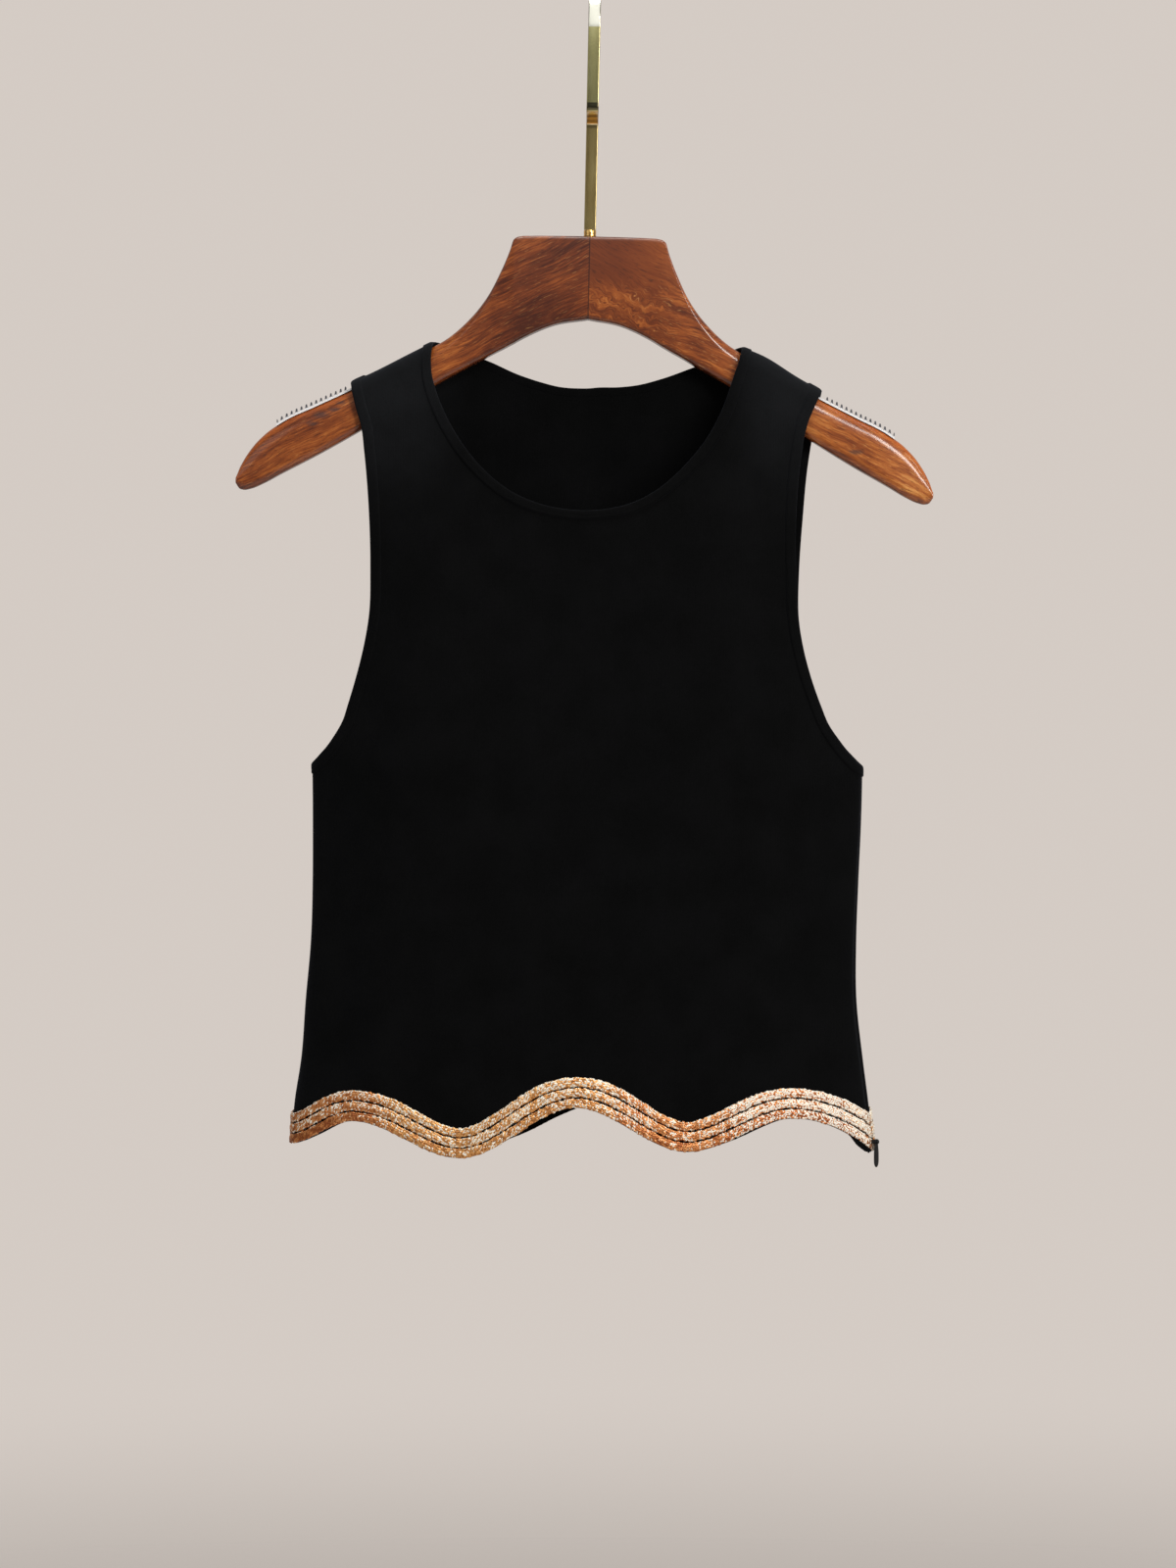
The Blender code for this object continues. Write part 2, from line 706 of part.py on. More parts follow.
def add_zip_tape():
    """The tape under the side seam on +X, from just above the hem."""
    arcs = (ZIP_WIDTH, 3.4, 0.0, 3.4, ZIP_WIDTH)
    faces = (FRONT, FRONT, FRONT, BACK, BACK)
    low = HEM["front"][-1] + 3.0
    heights = np.linspace(low, ZIP_TOP, 12)
    girth = half_girth(1.0, heights)
    sheets = []
    for out in ZIP_DEPTH:
        lines = [cloth_points(girth - arc, heights, face, out) for arc, face in zip(arcs, faces)]
        sheets.append(np.stack(lines, axis=1).reshape(-1, 3))
    quads = []
    for i in range(len(heights) - 1):
        for j in range(len(arcs) - 1):
            corner = i * len(arcs) + j
            quads.append((corner, corner + 1, corner + len(arcs) + 1, corner + len(arcs)))
    points, faces = shell(quads, *sheets)
    return add_object("zip_tape", points, faces, "zip_tape", 60.0)


# ---- small solids ----

def box_points(centre, size):
    signs = ((-1, -1), (1, -1), (1, 1), (-1, 1))
    corners = [(a, b, c) for c in (-1, 1) for a, b in signs]
    return np.array(centre) + np.array(corners) * np.array(size) / 2


def rod_points(centre, radius, length, sides=ROUND_SIDES):
    """A rod along the slider's width."""
    turn = np.arange(sides) * 2 * math.pi / sides
    rim = np.stack((np.zeros(sides), radius * np.cos(turn), radius * np.sin(turn)), axis=-1)
    ends = [rim + (-length / 2, 0, 0), rim + (length / 2, 0, 0)]
    return np.array(centre) + np.concatenate(ends)


def combine(base, tool, operation):
    """Leaves a live Boolean on the base, and hides its tool."""
    modifier = base.modifiers.new(tool.name, "BOOLEAN")
    modifier.operation = operation
    modifier.object = tool
    modifier.solver = "EXACT"
    tool.hide_render = True
    tool.display_type = "WIRE"
    tool.parent = base


def slider_seat():
    """Where the seam's cloth lies at the slider, and the level direction out of it."""
    arc = half_girth(1.0, SLIDER_HEIGHT)
    seat = cloth_points(arc, SLIDER_HEIGHT, FRONT)
    out = cloth_normals(np.array(arc), SLIDER_HEIGHT, FRONT)
    return seat, math.atan2(out[1], out[0])


def place_on_seam(item, out):
    """Turns a part's own X to lie across the seam and its Y outwards, and sets it there."""
    seat, heading = slider_seat()
    way = np.array((math.cos(heading), math.sin(heading), 0.0))
    item.location = Vector((seat + way * out) * MM)
    item.rotation_euler = (0.0, 0.0, heading - math.pi / 2)


def add_slider():
    across, out, tall = SLIDER_SIZE
    box = ring_faces(2, 4, False)
    rod = ring_faces(2, ROUND_SIDES, False)
    body = add_object("zip_slider", box_points((0, SLIDER_OFF + out / 2, 0), SLIDER_SIZE), box,
                      "zip_black", 30.0)
    for side in (-1, 1):
        middle = side * (across - EAR_THICK) / 2
        reach = EAR_REACH - SLIDER_OFF - 0.5
        ear = add_object("ear_tool", box_points((middle, SLIDER_OFF + 0.5 + reach / 2, 0),
                                                (EAR_THICK, reach, EAR_TALL)), box, "zip_black")
        combine(body, ear, "UNION")
    bail = add_object("bail_tool", rod_points((0, BAIL_OUT, 0), BAIL_RADIUS, across - EAR_THICK),
                      rod, "zip_black")
    combine(body, bail, "UNION")
    place_on_seam(body, 0.0)
    return body


def add_pull():
    """A flat drop below a small eye. Its origin is on the bail's axis, and it hangs down."""
    steps = np.linspace(0, math.pi, 15)
    neck = 0.42 * PULL_HALF_WIDTH
    start = EYE_RADIUS * 0.6
    down = start + (PULL_LENGTH - start) * (1 - np.cos(steps)) / 2
    along = (down - start) / (PULL_LENGTH - start)
    widening = neck + (PULL_HALF_WIDTH - neck) * smoothstep(along / 0.62)
    closing = np.sqrt(np.clip(1 - (np.clip(along - 0.62, 0, 1) / 0.38) ** 2, 0, 1))
    half = widening * closing
    right = np.stack((half[:-1], -down[:-1]), axis=-1)
    tip = np.array(((0.0, -PULL_LENGTH),))
    left = right[::-1] * (-1, 1)
    outline = np.concatenate((right, tip, left))
    front = np.stack((outline[:, 0], np.full(len(outline), PULL_THICK / 2), outline[:, 1]), axis=-1)
    back = front * (1, -1, 1)
    drop = add_object("zip_pull", np.concatenate((front, back)),
                      ring_faces(2, len(outline), False), "zip_black", 30.0)
    rod = ring_faces(2, ROUND_SIDES, False)
    eye = add_object("eye_tool", rod_points((0, 0, 0), EYE_RADIUS, EYE_WIDTH), rod, "zip_black")
    combine(drop, eye, "UNION")
    bore = add_object("bore_tool", rod_points((0, 0, 0), EYE_BORE, EYE_WIDTH * 2), rod, "zip_black")
    combine(drop, bore, "DIFFERENCE")
    place_on_seam(drop, BAIL_OUT)
    return drop


# ---- the hanger ----

def hanger_station(out, top, low, thick):
    """A rounded upright cross-section of the hanger's arm, in order round it."""
    half = thick / 2
    rounds = (TOP_ROUND, LOW_ROUND, LOW_ROUND, TOP_ROUND)
    limit = min(half - 0.4, (top - low) / 2 - 0.4)
    corners = ((1, top, 0.5), (1, low, 0.0), (-1, low, -0.5), (-1, top, -1.0))
    points = []
    for (side, level, start), radius in zip(corners, rounds):
        radius = min(radius, limit)
        middle_y = side * (half - radius)
        middle_z = level - radius if level == top else level + radius
        for step in range(ROUND_STEPS + 1):
            angle = math.pi * (start - 0.5 * step / ROUND_STEPS)
            points.append((out, middle_y + radius * math.cos(angle),
                           middle_z + radius * math.sin(angle)))
    return points


def add_hanger_half(name, side):
    stations = []
    for out, top, low in zip(HANGER["out"], HANGER["top"], HANGER["low"]):
        tip = smoothstep((out - 185.0) / (HANGER_HALF - 185.0))
        thick = HANGER_THICK + (HANGER_TIP_THICK - HANGER_THICK) * tip
        stations.append(hanger_station(max(out, JOINT_GAP / 2), top, low, thick))
    sides = len(stations[0])
    points = np.array(stations).reshape(-1, 3) * (side, 1, 1)
    half = add_object(name, points, ring_faces(len(stations), sides, False), "walnut_lacquer", 40.0)
    depth = HANGER["top"][0] - PIN_END + PIN_CLEAR
    bore = rod_points((0, 0, 0), PIN_RADIUS + PIN_CLEAR, depth + 5.0)
    upright = np.stack((bore[:, 1], bore[:, 2], bore[:, 0]), axis=-1)
    upright = upright + (0, 0, PIN_END - PIN_CLEAR + (depth + 5.0) / 2)
    tool = add_object(name + "_bore_tool", upright, ring_faces(2, ROUND_SIDES, False), "brass")
    combine(half, tool, "DIFFERENCE")
    return half


def add_collar():
    """The hook's round foot and the pin that it stands on, turned about Z."""
    seat = HANGER["top"][0] + PIN_CLEAR
    profile = ((PIN_RADIUS, PIN_END), (PIN_RADIUS, seat), (COLLAR_RADIUS, seat),
               (COLLAR_RADIUS, COLLAR_TOP))
    turn = np.arange(ROUND_SIDES) * 2 * math.pi / ROUND_SIDES
    rings = [np.stack((r * np.cos(turn), r * np.sin(turn), np.full(ROUND_SIDES, z)), axis=-1)
             for r, z in profile]
    return add_object("hook_collar", np.concatenate(rings),
                      ring_faces(len(profile), ROUND_SIDES, False), "brass", 30.0)


def bend(path, corner, after, radius, steps=4):
    """Adds a rounded corner to a path in the YZ plane."""
    before = Vector(path[-1])
    corner, after = Vector(corner), Vector(after)
    way_in, way_out = (corner - before).normalized(), (after - corner).normalized()
    turn = way_in.angle(way_out)
    trim = radius * math.tan(turn / 2)
    start, end = corner - way_in * trim, corner + way_out * trim
    for i in range(steps + 1):
        t = i / steps
        weight = 1 / math.cos(turn / 2)
        blend = (1 - t) ** 2 + 2 * t * (1 - t) / weight + t ** 2
        point = (start * (1 - t) ** 2 + corner * 2 * t * (1 - t) / weight + end * t ** 2) / blend
        path.append(tuple(point))


def hook_path():
    """Up from the collar, forward in a joggle, up again and over the rail's place."""
    reach = HOOK_RADIUS + HOOK_THICK / 2
    path = [(0.0, COLLAR_TOP + LAY_GAP)]
    bend(path, (0.0, JOGGLE_LOW), (-reach, JOGGLE_HIGH), JOGGLE_ROUND)
    bend(path, (-reach, JOGGLE_HIGH), (-reach, -HOOK_RADIUS), JOGGLE_ROUND)
    for angle in np.linspace(math.pi, 0.0, 19):
        path.append((reach * math.cos(angle), -HOOK_RADIUS + reach * math.sin(angle)))
    path.append((reach, HOOK_TIP))
    return np.array(path)


def add_hook():
    path = hook_path()
    way = np.gradient(path, axis=0)
    way = way / np.linalg.norm(way, axis=1, keepdims=True)
    across = np.stack((-way[:, 1], way[:, 0]), axis=-1)
    points = []
    for at, side in zip(path, across):
        for x, out in ((-1, -1), (1, -1), (1, 1), (-1, 1)):
            y, z = at + side * out * HOOK_THICK / 2
            points.append((x * HOOK_WIDTH / 2, y, z))
    return add_object("hook_strip", points, ring_faces(len(path), 4, False), "brass", 30.0)


def add_grip(name, side):
    """A ribbed strip on the arm's top. Its ribs are lower under the cloth."""
    count = int((GRIP_END - GRIP_START) / GRIP_PITCH)
    out = GRIP_START + np.arange(2 * count + 1) * GRIP_PITCH / 2
    wood = np.interp(out, HANGER["out"], HANGER["top"])
    tall = GRIP_LOW + (GRIP_TALL - GRIP_LOW) * smoothstep((out - GRIP_FREE_FROM) / GRIP_RAMP + 1)
    rise = np.where(np.arange(len(out)) % 2 == 1, tall, GRIP_BASE)
    flat = HANGER_THICK / 2 - TOP_ROUND
    edge = flat + TOP_ROUND * math.sin(math.radians(30))
    sag = TOP_ROUND * (1 - math.cos(math.radians(30)))
    stations = []
    for x, level, top in zip(out, wood, rise):
        stations.append([(x, -edge, level - sag + LAY_GAP), (x, -flat, level + LAY_GAP),
                         (x, flat, level + LAY_GAP), (x, edge, level - sag + LAY_GAP),
                         (x, edge, level + top), (x, -edge, level + top)])
    points = np.array(stations).reshape(-1, 3) * (side, 1, 1)
    return add_object(name, points, ring_faces(len(stations), 6, False), "clear_grip", 20.0)


# ---- building it ----

def clear_scene():
    for item in list(bpy.data.objects):
        bpy.data.objects.remove(item, do_unlink=True)


def build_cloth():
    add_panel("front_panel", FRONT)
    add_panel("back_panel", BACK)
    add_band("neck_band", neck_stations(), band_section(NECK_BAND_WIDTH))
    for name, side in (("left", 1.0), ("right", -1.0)):
        add_band("armhole_band_" + name, armhole_stations(side), band_section(ARM_BAND_WIDTH))
    for row in range(TRIM_ROWS):
        add_trim_row("front_trim_row_%d" % (row + 1), FRONT, row)
        add_trim_row("back_trim_row_%d" % (row + 1), BACK, row)
    add_zip_tape()
    add_slider()
    add_pull()


def build_hanger():
    frame = bpy.data.objects.new("hanger_frame", None)
    bpy.context.scene.collection.objects.link(frame)
    frame.rotation_euler = (0.0, ROLL, 0.0)
    pieces = [add_hook(), add_collar()]
    for name, side in (("left", 1.0), ("right", -1.0)):
        pieces.append(add_hanger_half("hanger_" + name, side))
        pieces.append(add_grip("grip_strip_" + name, side))
    for piece in pieces:
        piece.parent = frame


clear_scene()
build_cloth()
build_hanger()
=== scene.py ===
import math

import bmesh
import bpy
import numpy as np
from mathutils import Matrix


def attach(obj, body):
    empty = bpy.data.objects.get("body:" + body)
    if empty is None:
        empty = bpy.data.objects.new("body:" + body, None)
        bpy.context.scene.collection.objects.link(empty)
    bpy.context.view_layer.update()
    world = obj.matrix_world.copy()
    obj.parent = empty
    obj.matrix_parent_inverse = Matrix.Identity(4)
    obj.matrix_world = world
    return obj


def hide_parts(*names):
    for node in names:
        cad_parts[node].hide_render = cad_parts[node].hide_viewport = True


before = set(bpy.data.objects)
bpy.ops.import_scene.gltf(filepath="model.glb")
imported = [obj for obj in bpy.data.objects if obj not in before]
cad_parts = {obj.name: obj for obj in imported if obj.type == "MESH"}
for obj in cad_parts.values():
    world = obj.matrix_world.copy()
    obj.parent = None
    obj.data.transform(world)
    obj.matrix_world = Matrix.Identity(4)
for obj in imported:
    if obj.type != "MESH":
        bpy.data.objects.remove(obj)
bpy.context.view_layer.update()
mm = 0.001
front, back = -1.0, 1.0            # the front faces -Y
faces = {"front": front, "back": back}
faceNames = {front: "front", back: "back"}
sides = {"left": 1.0, "right": -1.0}   # the wearer's, with the left on +X
lean = math.radians(1.25)          # the hanger leans, its +X arm lower

shot = {
    "eye": (-4.2, -2200.0, -458.8),    # mm, level and looking along +Y
    "lens": 87.6,
    "sensor": 36.0,                    # mm tall
    "farthest": 50.0,                  # m
}


def addCamera():
    camera = bpy.data.objects.new("camera", bpy.data.cameras.new("camera"))
    camera.location = [length * mm for length in shot["eye"]]
    camera.rotation_euler = (math.pi / 2, 0.0, 0.0)
    camera.data.lens = shot["lens"]
    camera.data.sensor_width = shot["sensor"]
    camera.data.clip_end = shot["farthest"]
    bpy.context.scene.collection.objects.link(camera)
    bpy.context.scene.camera = camera


addCamera()
print("camera set")


def smoothStep(value):
    # 3t² - 2t³, with t held between 0 and 1
    t = np.clip(value, 0.0, 1.0)
    return t * t * (3 - 2 * t)


def softened(value, power):
    # |value| to a power, with the value's sign: a power below 1 squares a circle
    return np.sign(value) * np.abs(value) ** power


def fullTurn(count):
    # angles evenly spaced round a circle
    return np.arange(count) * 2 * math.pi / count


def stacked(*parts):
    # arrays of coordinates as one array of points
    return np.stack(np.broadcast_arrays(*parts), axis=-1)


def unit(vectors):
    return vectors / np.linalg.norm(vectors, axis=-1, keepdims=True)


def lengthsAlong(points):
    # how far along a line of points each one is
    return np.append(0.0, np.cumsum(np.linalg.norm(np.diff(points, axis=0), axis=1)))


def circles(ways, count, slant):
    # points of a circle of radius 1 square to each way; slant is a direction that no way has
    side = unit(np.cross(ways, slant))
    other = np.cross(ways, side)
    turn = fullTurn(count)[:, None]
    return np.cos(turn) * side[:, None] + np.sin(turn) * other[:, None]


def cubicThrough(keys, values, slopes, at):
    # between two keys, the cubic that has the given values and slopes at both
    at = np.clip(at, keys[0], keys[-1])
    low = np.clip(np.searchsorted(keys, at, side="right") - 1, 0, len(keys) - 2)
    span = keys[low + 1] - keys[low]
    t = (at - keys[low]) / span
    near = values[low] * (1 + 2 * t) + slopes[low] * span * t
    far = values[low + 1] * (3 - 2 * t) - slopes[low + 1] * span * (1 - t)
    return near * (1 - t) ** 2 + far * t ** 2


class Rows:
    # rows of sizes in mm under named columns, read by the first column

    def __init__(self, names, *rows):
        values = np.array(rows, float).T
        self.keys = values[0]
        self.columns = dict(zip(names.split(), values))

    def read(self, name, at):
        # a smooth curve; its slope at a row is under tilt, or else its neighbours'
        values = self.columns[name]
        slopes = self.columns.get("tilt", np.gradient(values, self.keys))
        return cubicThrough(self.keys, values, slopes, at)


def gridQuads(rows, columns, closed=False, ringed=False):
    # quads between neighbours of a grid; closed joins its sides, ringed its ends
    i = np.arange(rows if ringed else rows - 1)[:, None]
    j = np.arange(columns if closed else columns - 1)[None, :]
    nextRow, nextColumn = (i + 1) % rows, (j + 1) % columns
    corners = (i * columns + j, i * columns + nextColumn,
               nextRow * columns + nextColumn, nextRow * columns + j)
    return stacked(*corners).reshape(-1, 4)


def tube(rings, ringed=False, along=None, around=None):
    # rings of points to a closed surface; open ends get a fan to the ring's middle
    u = lengthsAlong(rings.mean(1)) if along is None else along
    v = lengthsAlong(rings[len(rings) // 2]) if around is None else around
    if not ringed:
        caps = [np.broadcast_to(ring.mean(0), (1, *ring.shape)) for ring in (rings[0], rings[-1])]
        rings = np.concatenate((caps[0], rings, caps[1]))
        u = np.pad(u, 1, mode="edge")
    quads = gridQuads(*rings.shape[:2], True, ringed)
    return rings.reshape(-1, 3), quads, stacked(u[:, None], v).reshape(-1, 2)


def capped(values, extra=0):
    # values at a tube's rings, repeated for the caps and for extra rings before the last one
    return np.pad(values, ((1, 1 + extra), (0, 0)), mode="edge")


def gather(*shapes):
    # several surfaces as one
    starts = np.cumsum([0] + [len(shape[0]) for shape in shapes])
    points = np.concatenate([shape[0] for shape in shapes])
    quads = np.concatenate([shape[1] + start for shape, start in zip(shapes, starts)])
    return points, quads, np.concatenate([shape[2] for shape in shapes])


def addMesh(name, shape, values=None, sharp=40.0):
    # points and UV in mm to a mesh in metres; merging doubles closes its poles
    points, quads, uv = shape
    mesh = bpy.data.meshes.new(name)
    mesh.from_pydata(points * mm, [], quads)
    layer = mesh.uv_layers.new(name="UVMap")
    layer.data.foreach_set("uv", (uv[quads.ravel()] * mm).astype(np.float32).ravel())
    for label, numbers in (values or {}).items():
        attribute = mesh.attributes.new(label, "FLOAT", "POINT")
        attribute.data.foreach_set("value", numbers.astype(np.float32).ravel())
    shaped = bmesh.new()
    shaped.from_mesh(mesh)
    bmesh.ops.remove_doubles(shaped, verts=shaped.verts, dist=1e-6)
    bmesh.ops.recalc_face_normals(shaped, faces=shaped.faces)
    shaped.to_mesh(mesh)
    shaped.free()
    mesh.shade_smooth()
    mesh.set_sharp_from_angle(angle=math.radians(sharp))
    item = bpy.data.objects.new(name, mesh)
    bpy.context.scene.collection.objects.link(item)
    return item


def dress(item, finish, standsFor=(), body="garment"):
    item.data.materials.append(finish)
    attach(item, body)
    if standsFor:
        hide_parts(*standsFor)
    return item


class Wire:
    # a socket that takes part in sums: values go through Math nodes, vectors through Vector Math

    def __init__(self, maker, socket):
        self.maker = maker
        self.socket = socket

    def sum(self, operation, *others):
        values = (self,) + others
        vectors = [w for w in values if isinstance(w, Wire) and w.socket.type == "VECTOR"]
        kind = "ShaderNodeVectorMath" if vectors else "ShaderNodeMath"
        sockets = {i: (w,) * 3 if vectors and isinstance(w, (int, float)) else w
                   for i, w in enumerate(values)}
        return self.maker.node(kind, {"operation": operation}, sockets)

    def __add__(self, other):
        return self.sum("ADD", other)

    def __sub__(self, other):
        return self.sum("SUBTRACT", other)

    def __rsub__(self, other):
        return (self * -1.0) + other

    def __mul__(self, other):
        return self.sum("MULTIPLY", other)

    def __truediv__(self, other):
        return self.sum("DIVIDE", other)

    def __pow__(self, other):
        return self.sum("POWER", other)

    def __abs__(self):
        return self.sum("ABSOLUTE")

    __radd__ = __add__
    __rmul__ = __mul__


class NodeMaker:
    # makes and links the nodes of a material or of the world

    def __init__(self, tree):
        self.tree = tree

    def node(self, kind, settings=None, sockets=None, output=0):
        # settings come first, then the sockets' values or wires
        made = self.tree.nodes.new(kind)
        for label, value in (settings or {}).items():
            if label == "stops":
                self.setStops(made.color_ramp, value)
            else:
                setattr(made, label, value)
        for label, value in (sockets or {}).items():
            if isinstance(value, Wire):
                self.tree.links.new(value.socket, made.inputs[label])
            else:
                made.inputs[label].default_value = value
        return Wire(self, made.outputs[output])

    def setStops(self, ramp, stops):
        while len(ramp.elements) < len(stops):
            ramp.elements.new(1.0)
        for element, (place, colour) in zip(ramp.elements, stops):
            element.position = place
            element.color = (*colour, 1.0)

    def places(self):
        return self.node("ShaderNodeTexCoord", output="Object")

    def across(self):
        return self.node("ShaderNodeUVMap", {"uv_map": "UVMap"})

    def stored(self, name):
        # a value that addMesh stored at the points
        return self.node("ShaderNodeAttribute", {"attribute_name": name}, output="Fac")

    def parts(self, vector):
        split = self.tree.nodes.new("ShaderNodeSeparateXYZ")
        self.tree.links.new(vector.socket, split.inputs[0])
        return [Wire(self, output) for output in split.outputs]

    def vector(self, parts):
        return self.node("ShaderNodeCombineXYZ", None, parts)

    def stretch(self, vector, scale, turn=(0.0, 0.0, 0.0)):
        sockets = {"Vector": vector, "Scale": scale, "Rotation": turn}
        return self.node("ShaderNodeMapping", None, sockets)

    def noise(self, vector, scale, detail=3.0, roughness=0.55):
        sockets = {"Vector": vector, "Scale": scale, "Detail": detail, "Roughness": roughness}
        return self.node("ShaderNodeTexNoise", None, sockets)

    def band(self, wire, low, high):
        # 0 below low, 1 above high, smooth between
        settings = {"interpolation_type": "SMOOTHSTEP"}
        return self.node("ShaderNodeMapRange", settings, {"Value": wire, 1: low, 2: high})

    def area(self, reach, heights):
        # 1 past the second value both of the distance from the middle and of the height
        east, _, up = self.parts(self.places())
        return self.band(abs(east), *reach) * self.band(up, *heights)

    def ramp(self, wire, *stops):
        return self.node("ShaderNodeValToRGB", {"stops": stops}, {"Fac": wire})

    def mix(self, factor, first, second):
        colours = [c if isinstance(c, Wire) else (*c, 1.0) for c in (first, second)]
        sockets = {0: factor, 6: colours[0], 7: colours[1]}
        return self.node("ShaderNodeMix", {"data_type": "RGBA"}, sockets, 2)

    def wave(self, wire):
        return wire.sum("SINE")


class Finish(NodeMaker):
    # one material, with the settings that are the same all over it

    def __init__(self, name, settings):
        self.material = bpy.data.materials.new(name)
        self.material.use_nodes = True
        super().__init__(self.material.node_tree)
        self.shader = self.tree.nodes["Principled BSDF"]
        for label, value in settings.items():
            self.shader.inputs[label].default_value = value

    def feed(self, label, wire):
        self.tree.links.new(wire.socket, self.shader.inputs[label])

    def bump(self, height, strength, distance):
        sockets = {"Strength": strength, "Distance": distance, "Height": height}
        self.feed("Normal", self.node("ShaderNodeBump", None, sockets))


knitLook = {
    "wale": 0.00095,                   # m between columns of stitches
    "course": 0.00072,                 # m between rows
    "dark": (0.0009, 0.0010, 0.0010),
    "light": (0.0022, 0.0023, 0.0025),
    "paintedShoulderLight": (0.0085, 0.0092, 0.0105),
    "paintedLightArea": ((0.070, 0.105), (-0.310, -0.232)),       # m out and up: painted light over the shoulders, which face the lamp above
    "sheen": 0.068,
    "sheenTint": (0.72, 0.80, 1.0, 1.0),
}


def knitFinish(name, turned=False):
    # fine plain knit: each stitch is a V, drawn in the piece's own unfolded sizes
    finish = Finish(name, {"Roughness": 0.85, "Specular IOR Level": 0.05,
                           "Sheen Weight": knitLook["sheen"], "Sheen Roughness": 0.45,
                           "Sheen Tint": knitLook["sheenTint"]})
    across, up, _ = finish.parts(finish.across())
    if turned:
        across, up = up, across
    wale = across * (math.pi / knitLook["wale"])
    leg = abs(finish.wave(wale))
    course = finish.wave(up * (2 * math.pi / knitLook["course"]) + leg * 2.6)
    height = leg * 0.65 + course * 0.22
    drift = finish.noise(finish.places(), 38.0, 4.0)
    fuzz = finish.noise(finish.places(), 1400.0, 2.0)
    shade = finish.band(drift * 0.6 + fuzz * 0.4, 0.32, 0.68)
    tone = finish.mix(shade, knitLook["dark"], knitLook["light"])
    # painted light: the knit is paler over the shoulders, where light from above falls
    shoulderLight = finish.area(*knitLook["paintedLightArea"]) * (0.6 + shade * 0.4)
    finish.feed("Base Color", finish.mix(shoulderLight, tone, knitLook["paintedShoulderLight"]))
    finish.feed("Roughness", 0.78 + 0.14 * fuzz)
    finish.bump(height + fuzz * 0.5, 0.55, 0.00016)
    return finish.material


braidLook = {
    "speck": (0.00078, 0.00102),       # m along a row and across it
    "ground": ((0.26, (0.34, 0.095, 0.026)), (0.45, (0.68, 0.260, 0.080)),
               (0.66, (0.86, 0.48, 0.220))),
    "golden": ((0.26, (0.43, 0.160, 0.045)), (0.45, (0.80, 0.385, 0.125)),
               (0.66, (0.93, 0.60, 0.280))),
    "goldenAt": ((-0.054, 0.066), (0.185, 0.030)),     # where it is yellower: X and reach
    "goldenFade": 0.012,
    "paintedGlintTone": (0.93, 0.91, 0.82),
    "paintedGlintMore": (0.10, 1.67),         # in the middle, and per metre towards +X, the side the painted light comes from
    "paintedGlintAt": ((0.140, 0.032, 0.14), (0.050, 0.036, -0.34),   # X, reach and how many more painted glints, fewer where painted shade falls, as in a fold's trough at 0.050
                (-0.054, 0.066, -0.04), (0.180, 0.012, -0.14)),
    # painted shade, in the dips between the beads
    "pitShade": (0.032, 0.013, 0.008),
}


def braidFinish():
    # metal thread: copper plaits with painted cream glints that stand for highlights, each a cell
    # of a Voronoi pattern, with painted shade between
    finish = Finish("goldBraid", {"Specular IOR Level": 0.6})
    bead, dip, places = finish.stored("bead"), finish.stored("dip"), finish.places()
    wide, tall = braidLook["speck"]
    cells = {"Vector": finish.stretch(finish.across(), (1 / wide, 1 / tall, 1.0)), "Scale": 1.0,
             "Randomness": 0.8}
    flat = {"voronoi_dimensions": "2D"}
    speck = finish.parts(finish.node("ShaderNodeTexVoronoi", flat, cells, "Color"))[0]
    away = finish.node("ShaderNodeTexVoronoi", flat, cells, "Distance")
    drift = finish.noise(places, 34.0, 3.0, 0.6)
    fine = finish.noise(places, 1500.0, 1.0)
    dot = finish.band(away, 0.66, 0.38)
    middle, slope = braidLook["paintedGlintMore"]
    east = finish.parts(places)[0]
    # painted light: more glints towards the lit +X side, fewer where painted shade falls
    glintShift = east * slope + middle
    for peak, reach, extra in braidLook["paintedGlintAt"]:
        glintShift = glintShift + finish.band(abs(east - peak), reach, reach / 3) * extra
    golden, fade = 0.0, braidLook["goldenFade"]
    for peak, reach in braidLook["goldenAt"]:
        golden = golden + finish.band(abs(east - peak), reach + fade, reach - fade)
    # painted highlights: cream glints stand for where the metal thread catches the light
    glint = finish.band(speck + (drift - 0.5) * 0.5 + (bead - 0.5) * 0.4 + glintShift, 0.58, 0.66) * dot
    tone = bead * 0.22 + speck * 0.40 + fine * 0.20 + drift * 0.18
    thread = [finish.ramp(tone, *braidLook[part]) for part in ("ground", "golden")]
    colour = finish.mix(glint, finish.mix(golden, *thread), braidLook["paintedGlintTone"])
    # painted shade in the dips between beads and at the row's rounded edges
    pitShade = finish.band(dip, 0.58, 1.0) * 0.86
    finish.feed("Base Color", finish.mix(pitShade * (1 - glint * 0.6), colour, braidLook["pitShade"]))
    finish.feed("Metallic", 0.72 - glint * 0.62)
    finish.feed("Roughness", 0.24 + 0.26 * fine)
    finish.bump(0.6 - away * 0.6 + fine * 0.25, 0.8, 0.0004)
    return finish.material


tapeLook = {
    "thread": 0.0006,                  # m
    "dark": (0.006, 0.006, 0.007),
    "light": (0.014, 0.014, 0.016),
}


def tapeFinish():
    # plain weave: two sets of threads, each a wave across the tape or along it
    finish = Finish("zipTapeWeave", {"Roughness": 0.8, "Specular IOR Level": 0.25})
    along, across, _ = finish.parts(finish.across())
    turns = 2 * math.pi / tapeLook["thread"]
    weave = finish.wave(along * turns) * finish.wave(across * turns)
    over = finish.band(weave, -1.0, 1.0)
    finish.feed("Base Color", finish.mix(over, tapeLook["dark"], tapeLook["light"]))
    finish.bump(weave, 0.5, 0.0001)
    return finish.material


